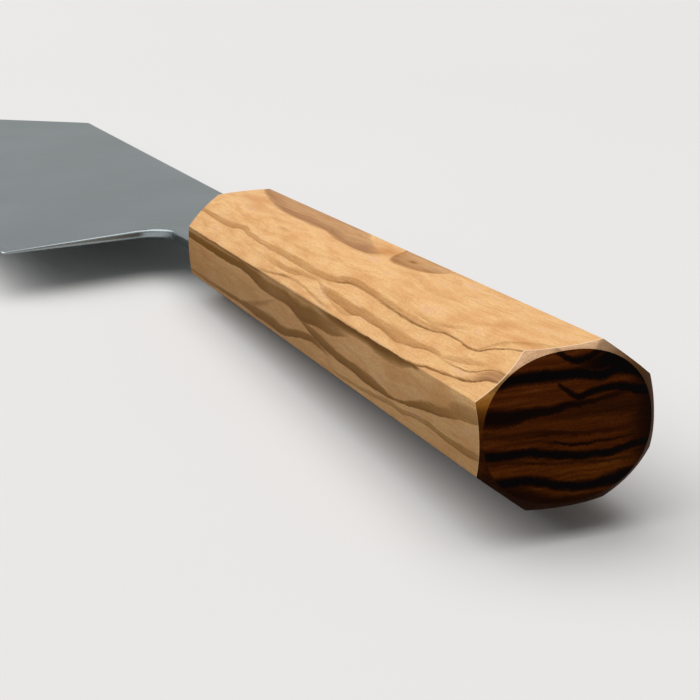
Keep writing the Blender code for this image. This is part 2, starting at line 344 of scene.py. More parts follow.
def bladeOutline(neck, face):
    # Round the blade's outline: each point is a column and its row in it
    upper = blade["upperRows"]
    spine = [(column, 0) for column in neck + face]
    tip = [(face[-1], r) for r in range(1, len(face[-1]) - 1)]
    edge = [(column, len(column) - 1) for column in reversed(face)]
    heel = [(face[0], r) for r in range(len(face[0]) - 2, upper - 1, -1)]
    under = [(column, upper) for column in reversed(neck)]
    shoulder = [(neck[0], r) for r in range(upper - 1, 0, -1)]
    return spine + tip + edge + heel + under + shoulder


def insetDirection(before, here, after):
    # Inward at a corner, so that both sides move in by the same amount
    first = (here - before).normalized()
    second = (after - here).normalized()
    inward = Vector((-first.y - second.y, first.x + second.x)).normalized()
    return inward / max(inward.dot(Vector((-second.y, second.x))), blade["cornerShare"])


def halfBlade():
    # The upper half with its rounded rim, open at the middle plane; slots: 0 face, 1 rim, 2 edge bevel
    neck = neckColumns()
    face = [faceColumn(x) for x in facePlaces()]
    columns = neck + face
    index = {id(column): c for c, column in enumerate(columns)}
    bm = bmesh.new()
    points = {}
    for c, column in enumerate(columns):
        for r, (x, y) in enumerate(column):
            points[c, r] = bm.verts.new((leaned(x, y) if column in face else x, y, halfThickness(x, y)))
    for c in range(len(columns) - 1):
        rows = min(len(columns[c]), len(columns[c + 1])) - 1
        for r in range(rows):
            quad = bm.faces.new((points[c, r], points[c + 1, r], points[c + 1, r + 1], points[c, r + 1]))
            quad.material_index = 2 if r == len(columns[c]) - 2 and c >= len(neck) else 0
    outline = bladeOutline(neck, face)
    places = []
    for column, r in outline:
        x, y = column[r]
        places.append(Vector((leaned(x, y) if column in face else x, y)))
    profiles = []
    steps = blade["easeSteps"]
    for i, (column, r) in enumerate(outline):
        top = points[index[id(column)], r]
        place = places[i]
        base = bm.verts.new((place.x, place.y, 0.0))
        if r == len(column) - 1 and len(column) > blade["upperRows"] + 1:
            profiles.append([base] + [top] * (steps + 1))
            continue
        inward = insetDirection(places[i - 1], place, places[(i + 1) % len(places)])
        ease = min(blade["ease"], blade["easeShare"] * top.co.z)
        profile = [base]
        for step in range(steps):
            angle = pi / 2 * step / steps
            side = place + inward * ease * (1 - cos(angle))
            profile.append(bm.verts.new((side.x, side.y, top.co.z - ease * (1 - sin(angle)))))
        inner = place + inward * ease
        top.co = (inner.x, inner.y, top.co.z)
        profiles.append(profile + [top])
    for i, profile in enumerate(profiles):
        following = profiles[(i + 1) % len(profiles)]
        for step in range(steps + 1):
            corners = [profile[step], following[step], following[step + 1], profile[step + 1]]
            loop = [corner for n, corner in enumerate(corners) if corner not in corners[:n]]
            if len(loop) > 2:
                bm.faces.new(loop).material_index = 1
    bmesh.ops.recalc_face_normals(bm, faces=bm.faces)
    return bm


def tangBar():
    # The hidden tang, narrower to its end, which reaches a little into the neck
    bm = bmesh.new()
    bmesh.ops.create_cube(bm, size=2.0)
    for vert in bm.verts:
        atEnd = vert.co.x < 0
        x = -blade["tangLength"] if atEnd else blade["shoulder"] + blade["tangOverlap"]
        height = blade["tangEnd"] if atEnd else blade["tangRoot"]
        thick = blade["tangEndThickness"] if atEnd else blade["tangThickness"]
        vert.co = (x, height / 2 * vert.co.y, thick / 2 * vert.co.z)
    return bm


def makeBlade():
    piece = newPiece("forgedBlade", halfBlade(), [steelMaterial(*finish) for finish in steel["finishes"]])
    mirror = piece.modifiers.new("otherSide", "MIRROR")
    mirror.use_axis = (False, False, True)
    mirror.merge_threshold = blade["mirrorJoin"]
    bakeModifiers(piece)
    cutWith(piece, tangBar(), "UNION")
    piece.data.shade_smooth()
    piece.data.set_sharp_from_angle(angle=radians(blade["sharpAngle"]))
    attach(piece, "root")
    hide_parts("blade")


makeBlade()
print("blade done")


# Olive wood

grain = {
    "length": 125.0, "girth": 78.0,     # mm, what the grain map's two directions cover
    "ground": [(0.34, "#EBB277"), (0.48, "#F5BF85"), (0.58, "#FACA8C"), (0.72, "#F7C298")],
    "amber": "#D9965A", "tan": "#BC854E", "olive": "#7F5412", "line": "#66400F",
    "rose": "#A97A55", "bark": "#A06A38",
    "waver": (0.25, 0.75, 0.13), "fray": (0.25, 0.75, 0.09),     # how far the streaks' edges wander, in mm
    "pathShare": -0.75,         # how closely the growth lines follow the long line
    "cloudRagged": 1.2, "cloudEdge": (0.7, 1.8),
    # A painted highlight along the edge where the butt's bevel cuts the sides: its colour, its width in mm,
    # and how it grows with the height
    "paintedHighlight": "#FFE6C6", "paintedHighlightWidth": 0.35, "paintedHighlightFade": (0.35, 0.75, 0.25, 1.0),
    "roughness": 0.5, "bumpDepth": 0.02,
}

# Patterns in the wood: size across the grain and along it in mm, detail and seed
patterns = {
    "fibres": (0.22, 5.0, 3.0, 7.0),        # bundles of fibres: a single one is too fine to show
    "pores": (0.14, 1.3, 1.0, 5.0),         # real ones are 0.05 mm wide, too fine to show
    "speckle": (0.28, 0.7, 2.0, 41.0),
    "waver": (1.0, 4.0, 4.0, 3.1),
    "drift": (5.0, 14.0, 2.0, 17.0),
    "clouds": (2.6, 8.0, 4.0, 11.0),
    "growth": (0.75, 55.0, 3.0, 23.0),      # growth rings, which run along a board as lines
    "slow": (1.6, 12.0, 2.0, 53.0),
    "breaks": (0.9, 5.0, 3.0, 31.0),
    "endLines": (0.45, 9.0, 3.0, 2.0),
    "endFibres": (0.16, 3.0, 2.0, 9.0),
}

# What a pattern does: from its low and high value to what these turn into
effects = {
    "drift": (0.3, 0.7, -1.0, 1.0),         # mm by which the clouds and growth lines are moved
    "growth": (0.5, 0.75, 0.0, 0.28),       # share of tan on the ground
    "unevenRose": (0.35, 0.65, 0.75, 1.2),  # how much of the rosy colour holds
    "patchy": (0.75, 1.25, 0.75, 1.15),     # how much of a streak's tan holds, from place to place
    "slow": (0.35, 0.65, 0.85, 1.1),        # the same, over longer stretches
    "full": (0.8, 1.2, 0.92, 1.12),         # how much of its olive holds
    "breaks": (0.38, 0.62, 0.6, 1.2),       # how much of its line holds
    "fibres": (0.42, 0.78, 0.0, 0.3),       # shares of tan and olive over everything
    "speckle": (0.45, 0.75, 0.0, 0.3),
    "pores": (0.6, 0.76, 0.0, 0.25),
}

# How dark a streak is across itself, from its soft side at 0 to its crisp edge at 0.5: band, then line
softBand = [
    (0, 0, 0), (0.08, 0.45, 0), (0.2, 0.8, 0), (0.44, 1, 0.15), (0.475, 1, 1), (0.5, 0.9, 1), (0.53, 0, 0),
]
evenBand = [
    (0, 0, 0), (0.04, 0.7, 0.4), (0.1, 0.85, 0.05), (0.43, 0.95, 0.1), (0.475, 1, 0.9), (0.5, 0.8, 0.6),
    (0.53, 0, 0),
]
smudge = [
    (0, 0, 0), (0.08, 0.5, 0.1), (0.16, 0.9, 0.2), (0.35, 0.95, 0.3), (0.43, 1, 0.9), (0.48, 1, 1),
    (0.53, 0, 0),
]
edgeShade = [
    (0, 0, 0), (0.08, 0.5, 0), (0.2, 0.8, 0.1), (0.33, 1, 0.5), (0.42, 1, 1), (0.49, 1, 1), (0.52, 0, 0),
]
ribbon = [
    (0, 0, 0), (0.06, 0.45, 0), (0.14, 0.85, 0), (0.34, 0.95, 0.05), (0.44, 1, 0.2), (0.48, 1, 1),
    (0.51, 0.7, 0.5), (0.55, 0, 0),
]
haze = [(0, 0, 0), (0.2, 0.4, 0), (0.4, 1, 0), (0.48, 0.7, 0), (0.58, 0, 0)]
thread = [(0.1, 0, 0), (0.4, 0.8, 0.9), (0.55, 0.9, 1), (0.75, 0, 0)]
rosyBand = [
    (0, 0, 0), (0.06, 0.6, 0), (0.34, 0.7, 0), (0.42, 0.85, 0.3), (0.47, 1, 0.9), (0.5, 0.8, 1),
    (0.54, 0, 0),
]

# Streaks of heartwood, and one of painted shade, in mm: x from the butt and g round the handle from its lower
# right edge.
# Each has the path of its crisp edge, and its width and strength along x; crisp -1 turns it over.
# Its shares are how much tan, olive and line colour it holds. Before its first and after its last point
# a curve keeps their values.
streaks = [
    {"name": "long line", "shares": (0.7, 0.1, 0.8), "profile": thread, "path": [(0, 38.9), (1.9, 39.2),
         (4.1, 39.6), (6.2, 40.3), (8.5, 41), (9.9, 41.7), (12, 42.1), (16.5, 42), (21.5, 42), (23.1, 42.3),
         (25.2, 42.6), (28.1, 42.8), (34.3, 42.8), (40.1, 42.6), (46.3, 42.3), (53.7, 42.2), (56.2, 42.4),
         (58.7, 43), (61.2, 43.3), (125, 43.5)],
     "width": [(30, 0.34), (45, 0.4)],
     "strength": [(0, 0.75), (10, 0.95), (24, 0.95), (40, 0.8), (48, 0.5), (57, 0.6), (62, 0.2), (68, 0)]},
    {"name": "band over it", "shares": (0.92, 0.1, 0.25), "profile": ribbon, "path": [(18, 42),
         (23.1, 42.3), (28.1, 42.8), (34.3, 42.8), (40.1, 42.6), (46.3, 42.3), (53.7, 42.2), (58.7, 43),
         (62, 43.5), (66, 43.7), (80, 43.7), (90, 43.7), (95, 43.6), (100, 43.4), (103, 43), (106, 43.4),
         (110, 43.9), (115, 43.9), (120, 43.7)],
     "width": [(0, 0.6), (20, 0.7), (25, 1), (35, 1.1), (50, 1.15), (58, 1.6), (62, 1.2), (75, 1.3),
         (85, 1.2), (93, 0.9), (98, 0.9), (103, 1.2), (110, 1.3), (120, 0.95)],
     "strength": [(17, 0), (23, 0.6), (33, 0.6), (46, 0.9), (56, 0.95), (62, 0.8), (97, 0.7), (104, 0.85),
         (114, 0.9), (125, 0.75)]},
    {"name": "strand at the butt", "shares": (0.7, 0, 0.25), "crisp": -1, "path": [(0, 34.4), (2, 35),
         (4.5, 36.6), (6.4, 38.6), (7.4, 39.4), (8.5, 40), (9.7, 40.9), (11, 41.6), (125, 41.7)],
     "width": [(0, 2.2), (5, 2), (7, 0.9), (11, 0.5)],
     "strength": [(0, 0.5), (4, 0.7), (7, 0.9), (11, 0.7), (14, 0)]},
    {"name": "second strand", "shares": (0.7, 0, 0.12), "path": [(0, 39.5), (15, 39.7), (17.8, 40.2),
         (21.5, 41.1), (25.6, 41.7), (29, 41.6), (36, 41.3), (125, 41)],
     "width": [(0, 0.6), (20, 0.8), (30, 0.7), (125, 0.6)],
     "strength": [(14, 0), (18, 0.5), (26, 0.8), (32, 0.4), (38, 0)]},
    {"name": "faint growth line", "shares": (0.3, 0, 0), "path": [(0, 36.2), (14, 36.8), (17, 38.6),
         (20.6, 38.9), (25.4, 38.5), (32, 37.6), (43, 35.3), (55, 33.8), (125, 33)],
     "width": [(0, 1), (20, 1.4), (43, 1.8), (125, 1)],
     "strength": [(0, 0), (12, 0.2), (18, 0.6), (32, 0.5), (43, 0.4), (56, 0)]},
    {"name": "wedge's upper line", "shares": (0.8, 0, 0.6), "profile": thread, "path": [(0, 43),
         (3.7, 43.2), (5.4, 43.8), (6.8, 44.5), (8.7, 45), (10.7, 45.2), (13.2, 45.4), (20, 45.2),
         (125, 45)],
     "width": [(0, 0.3)],
     "strength": [(0, 0.8), (7, 0.9), (12, 0.6), (17, 0.2), (20, 0)]},
    {"name": "wedge's lower line", "shares": (0.8, 0.1, 0.85), "profile": thread, "path": [(0, 44.4),
         (2.9, 44.7), (4.3, 45.2), (5.8, 45.9), (7.4, 46.2), (9.9, 46.5), (12.4, 46.8), (14.9, 47.1),
         (17.8, 47.3), (19.8, 47.7), (22.3, 48), (125, 48.3)],
     "width": [(0, 0.3), (5, 0.45), (20, 0.45), (125, 0.4)],
     "strength": [(0, 0.5), (4, 0.8), (8, 0.9), (20, 1), (24, 0.4), (27, 0)]},
    {"name": "haze over the wedge", "shares": (0.75, 0, 0.1), "path": [(0, 43), (7.9, 43.6), (10, 44.1),
         (13, 44.7), (16, 45.1), (20, 45.3)],
     "width": [(0, 0.5), (8, 0.6), (12, 1), (20, 0.7), (125, 0.6)],
     "strength": [(0, 0), (6, 0.2), (9, 0.8), (15, 0.7), (21, 0)]},
    {"name": "grey band", "shares": (0.85, 0.1, 0.4), "profile": ribbon, "path": [(0, 45), (16, 45.2),
         (19.8, 45.2), (23.1, 45.6), (25.6, 46), (28.5, 46.2), (30.6, 46.5), (33.1, 46.4), (35.1, 46.2),
         (41.3, 46.1), (43.8, 46), (45.9, 46.2), (47.5, 46.5), (48.8, 46.4), (52, 46.2), (57, 46),
         (60.3, 45.6), (62, 45.3), (125, 45.2)],
     "width": [(0, 0.4), (15, 0.5), (20, 0.8), (25, 1.2), (30, 1.8), (33, 2.1), (38, 1.5), (44, 1.6),
         (47, 2), (50, 1.8), (55, 1.8), (60, 1.4), (63, 0.8), (125, 0.4)],
     "strength": [(13, 0), (18, 0.6), (25, 0.9), (31, 0.75), (40, 1), (58, 0.9), (62, 0.5), (64, 0)]},
    {"name": "under the grey band", "shares": (0.45, 0, 0.35), "path": [(0, 46.5), (46, 46.4), (48.8, 47),
         (51.2, 47), (55, 46.6), (57.9, 46.2), (60.3, 45.9), (63, 44.9), (66, 44.4), (70, 44.6), (75, 45.2),
         (80, 45.7), (88, 45.9), (125, 46)],
     "width": [(0, 0.8), (48, 1), (55, 0.9), (60, 0.7), (66, 0.6), (75, 0.9), (85, 0.8), (125, 0.6)],
     "strength": [(46, 0), (49, 0.8), (58, 0.8), (62, 1), (70, 1), (78, 0.8), (84, 0.4), (92, 0)]},
    {"name": "swirl", "shares": (0.6, 0.15, 0.5), "profile": thread, "path": [(0, 47.8), (50, 47.7),
         (54, 47.5), (60, 47.3), (65, 46.8), (70, 46.5), (75, 46.6), (80, 47.3), (85, 47.8), (125, 48.5)],
     "width": [(0, 0.5), (60, 0.6), (70, 0.4), (82, 0.6), (125, 0.5)],
     "strength": [(52, 0), (57, 0.5), (70, 0.5), (78, 0.9), (86, 0.5), (90, 0)]},
    {"name": "upper streak of the swirl", "shares": (0.65, 0.1, 0.2), "profile": evenBand, "path": [(0, 45),
         (64, 44.6), (70, 45), (74, 45.6), (78, 45.9), (84, 45.8), (92, 45.4), (125, 45)],
     "width": [(0, 0.6), (64, 0.5), (70, 0.8), (76, 1.1), (84, 1), (92, 0.5), (125, 0.4)],
     "strength": [(63, 0), (67, 0.8), (76, 0.9), (84, 0.5), (94, 0.25), (100, 0)]},
    # Painted shade: darkens the left side more and more towards the front
    {"name": "painted shade at the front of the left side", "shares": (0.6, 0.22, 0), "path": [(0, 58.6)],
     "width": [(0, 10.4)],
     "strength": [(0, 0.15), (35, 0.2), (60, 0.7), (90, 0.9), (125, 1)]},
    {"name": "greener butt end of the left side", "shares": (0.1, 0.22, 0), "path": [(0, 58.6)],
     "width": [(0, 10.4)],
     "strength": [(0, 1), (25, 0.8), (55, 0.3), (125, 0.2)]},
    {"name": "dark edge", "shares": (0.2, 1, 0.75), "crisp": -1, "profile": edgeShade, "path": [(18, 47.95),
         (21, 48)],
     "width": [(0, 0.5), (20, 0.6), (24, 1.2), (27, 1.8), (33, 2), (37, 1.5), (42, 1.3), (47, 1.6),
         (52, 1.9), (60, 1.6), (125, 1)],
     "strength": [(18, 0), (21, 0.8), (30, 0.9), (36, 1), (48, 1), (56, 0.6), (62, 0.4), (84, 0.4),
         (88, 0.7), (100, 0.6), (125, 0.4)]},
    {"name": "left mass", "shares": (0.3, 1, 0.3), "profile": smudge, "path": [(0, 49.5), (40, 49.6),
         (46.3, 50), (50, 50.8), (55, 51.5), (60, 51.6), (65.6, 52.3), (68.7, 51.9), (73, 51.1), (78, 51.3),
         (84, 51.3), (88, 50.8), (92, 50.1), (100, 50.2), (108, 50.3)],
     "width": [(0, 0.6), (40, 0.8), (46, 1.2), (52, 2.4), (60, 3.2), (66, 3.6), (72, 2.8), (80, 2.8),
         (86, 2.8), (92, 1.9), (125, 1.8)],
     "strength": [(42, 0), (48, 0.5), (56, 0.85), (68, 1), (78, 0.85), (88, 1)]},
    {"name": "crossing band", "shares": (0.3, 0.85, 0), "crisp": -1, "profile": haze, "path": [(0, 50),
         (70, 50.5), (76, 50.9), (80, 51.9), (84, 53.2), (88, 54.4), (92, 55.3), (96, 56), (125, 56.5)],
     "width": [(74, 1), (80, 1.6), (90, 2.2), (96, 1.2), (125, 1)],
     "strength": [(73, 0), (79, 0.35), (86, 0.75), (93, 0.85), (98, 0.3), (104, 0)]},
    {"name": "smudge at the butt", "shares": (0.3, 0.75, 0.1), "path": [(0, 50.6), (4, 50.9), (8, 51.2),
         (13, 51.4)],
     "width": [(0, 2), (6, 2.1), (12, 1.2), (125, 1)],
     "strength": [(5, 0.8), (10, 0.35), (14, 0)]},
    {"name": "main line of the left side", "shares": (0.3, 0.9, 0.6), "profile": smudge, "path": [(0, 50.6),
         (3.3, 51.2), (6.2, 51.6), (8.3, 52), (10.7, 52.5), (13.6, 53), (16.5, 53.3), (19.4, 53.8),
         (22.3, 54.3), (25.2, 54.7), (28.1, 55), (31, 55.25), (34.3, 55.4), (38, 55.5), (41.3, 55.4),
         (45.5, 55.1), (49.6, 55), (53.7, 54.8), (57.9, 54.3), (62, 53.6), (66, 52.7), (70, 52.1),
         (125, 52)],
     "width": [(6, 0.9), (9, 1.3), (14, 1.7), (18, 1.7), (21, 1.4), (23, 1.1), (26, 0.6), (29, 0.5),
         (32, 0.9), (35, 1.5), (41, 1.95), (45, 1.7), (50, 1.6), (54, 2), (62, 1.5), (67, 0.9), (125, 0.6)],
     "strength": [(0, 0.55), (8, 0.65), (24, 0.95), (36, 0.95), (62, 1), (68, 0.8), (72, 0)]},
    {"name": "low band", "shares": (0.3, 0.95, 0.4), "profile": smudge, "path": [(48, 55.6), (56, 55.3),
         (60, 54.9), (65.6, 55.3), (70.4, 56.1), (74.7, 57.1), (82.5, 57.1), (88, 57.2), (95, 57),
         (103, 57.1), (112, 57.3)],
     "width": [(50, 0.6), (60, 1.4), (70, 1.5), (76, 2.1), (84, 2.3), (91, 2), (97, 1.1), (106, 0.9),
         (125, 0.8)],
     "strength": [(50, 0), (58, 0.8), (66, 1), (104, 1), (114, 0.8), (125, 0.7)]},
    {"name": "low line", "shares": (0.3, 0.8, 0.35), "profile": smudge, "path": [(0, 55.6), (5, 55.9),
         (10, 55.9), (14, 55.7), (18, 55.6), (22, 55.7), (26, 56.2), (30, 56.2), (35, 56.6), (41.4, 57.1),
         (50, 57.4), (60, 57.6), (125, 58.5)],
     "width": [(0, 1.2), (5, 1.3), (12, 1), (20, 0.9), (26, 0.8), (36, 0.8), (50, 0.7), (125, 0.5)],
     "strength": [(0, 0.7), (10, 0.8), (25, 0.65), (36, 0.65), (46, 0.6), (55, 0.25), (60, 0)]},
    # The sides that the photograph doesn't show go on in the same way
    {"name": "under left", "shares": (0.5, 0.7, 0.8), "path": [(0, 60.5), (20, 61.6), (45, 60.7),
         (70, 62.4), (95, 61.5), (125, 63.2)],
     "width": [(0, 1.1), (30, 1.8), (60, 1), (90, 2.4), (125, 1.1)],
     "strength": [(0, 0.7), (30, 0.6), (60, 0.75), (90, 0.6), (125, 0.7)]},
    {"name": "under left, second", "shares": (0.8, 0.3, 0.6), "crisp": -1, "path": [(0, 64.6), (25, 63.9),
         (50, 64.8), (80, 65.9), (105, 65), (125, 66.3)],
     "width": [(0, 0.8), (40, 1.2), (80, 2), (125, 0.9)],
     "strength": [(0, 0.6), (40, 0.75), (80, 0.6)]},
    {"name": "underside", "shares": (0.5, 0.6, 0.9), "path": [(0, 69.5), (20, 68.6), (38, 70.4), (60, 71.3),
         (85, 69.8), (108, 71), (125, 70.5)],
     "width": [(0, 0.9), (38, 2.2), (60, 1.2), (90, 2.6), (125, 1)],
     "strength": [(38, 0.7), (60, 0.8), (90, 0.6), (125, 0.7)]},
    {"name": "underside, second", "shares": (0.8, 0.2, 0.7), "path": [(0, 74.5), (25, 75.2), (45, 74),
         (70, 75.1), (100, 74.1), (125, 75.3)],
     "width": [(0, 0.8), (45, 1.1), (100, 1.6), (125, 0.8)],
     "strength": [(0, 0.5), (25, 0.7), (70, 0.6)]},
    {"name": "lower right", "shares": (0.6, 0.5, 0.7), "crisp": -1, "path": [(0, 4.2), (18, 5), (40, 3.8),
         (65, 4.9), (90, 4.2), (125, 5.4)],
     "width": [(0, 1), (40, 2), (90, 1.1), (125, 1.4)],
     "strength": [(40, 0.6), (90, 0.75), (125, 0.6)]},
    {"name": "right side, low", "shares": (0.3, 0.8, 0.9), "path": [(0, 10.2), (15, 10.9), (35, 9.9),
         (58, 11.3), (80, 12.4), (104, 11.2), (125, 11.8)],
     "width": [(0, 1.2), (35, 1.8), (80, 2.6), (125, 1.2)],
     "strength": [(0, 0.85), (35, 0.8), (80, 0.8)]},
    {"name": "right side, high", "shares": (0.6, 0.5, 0.7), "path": [(0, 17.6), (20, 16.6), (44, 17.5),
         (70, 15.9), (96, 16.8), (125, 16)],
     "width": [(0, 2.4), (44, 1.5), (70, 2.2), (125, 1.4)],
     "strength": [(0, 0.85), (44, 0.7), (70, 0.8), (125, 0.6)]},
    {"name": "upper right", "shares": (0.9, 0.1, 0.6), "path": [(0, 22), (22, 23.1), (45, 22.2), (70, 24.4),
         (95, 25), (125, 24.2)],
     "width": [(45, 1.4), (95, 3), (125, 2)],
     "strength": [(0, 0.75), (45, 0.6), (95, 0.6)]},
]

# Rosy heartwood that comes over the upper side's far edge, laid down in the same way: its first share is
# of rose, and its third of the bark colour on its edge
rosyPatches = [
    {"name": "front patch", "shares": (1, 0, 0.4), "path": [(0, 30), (62, 32), (64.1, 33.2), (65.2, 34.1),
         (67.8, 34.5), (74.7, 34.5), (78.2, 34.2), (81.6, 33.6), (84.2, 33.2), (91.2, 33.5), (101.6, 33.5),
         (105, 33.2), (110.2, 32.3), (116.3, 30.9), (122.3, 29.2), (125, 28)],
     "width": [(63, 0.8), (65, 2.4), (68, 3.4), (72, 4.7), (76, 6), (82, 8)],
     "strength": [(63, 0), (64.5, 1), (73, 1), (79, 0.95), (104, 0.95), (125, 0.85)]},
    {"name": "middle patch", "shares": (0.85, 0, 0.65), "path": [(0, 24), (45, 26), (45.9, 29.2),
         (46.5, 30.2), (47.9, 31.3), (50, 32), (52.5, 32.6), (55.4, 33), (57.4, 33), (59.5, 32.3),
         (61.2, 31), (62.6, 29), (64, 27.8), (125, 24)],
     "width": [(0, 0.6), (45.2, 1), (47.9, 6.6), (52.5, 9.4), (57.4, 10), (61.2, 6.8), (64, 1.5),
         (125, 0.6)],
     "strength": [(44.5, 0), (46, 0.9), (54, 0.85), (60, 1), (64, 0.9), (66, 0)]},
    {"name": "wedge", "shares": (1, 0, 0), "profile": evenBand, "path": [(0, 44.4), (2.9, 44.7),
         (4.3, 45.2), (5.8, 45.9), (9, 46.4)],
     "width": [(0, 1.4), (3, 1.5), (5, 1.8), (7, 1.5), (10, 0.8), (125, 0.5)],
     "strength": [(0, 1), (3, 0.95), (6, 0.5), (10, 0)]},
]

# Small clouds and the knot, in mm: middle, half sizes, strength and colour
clouds = [
    {"at": (55.6, 30.4), "size": (2.6, 1.1), "strength": 0.5, "tone": "tan"},
    {"at": (55.6, 30.4), "size": (1.5, 0.6), "strength": 1.0, "tone": "bark"},
    {"at": (55.6, 30.4), "size": (1.0, 0.3), "strength": 0.5, "tone": "line"},
    {"at": (68.5, 33.2), "size": (6.0, 2.0), "strength": 1.0, "tone": "rose"},
    {"at": (64.5, 31.0), "size": (4.5, 2.4), "strength": 1.0, "tone": "amber"},
    {"at": (108.5, 36.6), "size": (5.5, 2.0), "strength": 0.6, "tone": "amber"},
    {"at": (115.5, 34.0), "size": (6.0, 2.2), "strength": 0.7, "tone": "amber"},
    {"at": (90.0, 39.0), "size": (3.0, 0.6), "strength": 0.6, "tone": "tan"},
    {"at": (4.0, 37.4), "size": (5.0, 1.5), "strength": 0.7, "tone": "amber"},
    {"at": (15.0, 36.4), "size": (3.4, 2.2), "strength": 0.4, "tone": "amber"},
]

endGrain = {
    # The flat end: its shades and where each stands in the pattern, and what is laid over them
    "shades": [(0.1, "#54260C"), (0.4, "#76390F"), (0.7, "#8C4914"), (1.0, "#A86428")],
    "dark": "#060202", "pore": "#2C1006", "heart": "#55200A",
    "poreShare": (0.55, 0.7, 0.0, 0.5), "heartShare": (-5.0, -3.0, 0.0, 0.45),     # the second by height z
    "fineShare": 0.45, "mixedSpan": (0.4, 1.05),
    # The bevel: its colour at each height z, lighter at the top and darker towards the bottom as painted
    # light and shade, and what is laid over it
    "bevel": [
        (-10, "#261105"), (0, "#381705"), (2.5, "#653509"), (4.5, "#A86C26"), (7.4, "#D29A54"),
        (9.2, "#FBCDA0"),
    ],
    "bevelPaintedShade": "#7A4A22", "paintedShadeShare": (-4.5, -10.5, 0.0, 0.9),     # painted shade by y, darker to the right side
    "bevelLines": "#8C4914", "lineShare": (0.5, 0.9, 0.0, 0.35),
    "bevelDots": "#76390F", "dotShare": (0.5, 0.68, 0.0, 0.3),
    "bandsOnBevel": 0.45, "flatFrom": (0.8, 0.9),     # how square to the axis a face is, to be the flat end
    "waversPerMm": 0.5, "dotsPerMm": 5.5,
    "waver": (0.25, 0.75, -0.18, 0.18), "ragged": (0.25, 0.75, -0.16, 0.16),     # mm
    "across": (-12.5, 12.5), "height": (-12.0, 12.0),     # mm, what the curves of the bands cover
    "roughness": 0.55, "bumpDepth": 0.015,
}

# How dark a band on the end is across itself, from its lower side at 0 to its upper side at 1
thickBand = [(0, 0, 0), (0.16, 0.75, 0), (0.3, 1, 0), (0.7, 1, 0), (0.84, 0.75, 0), (1, 0, 0)]
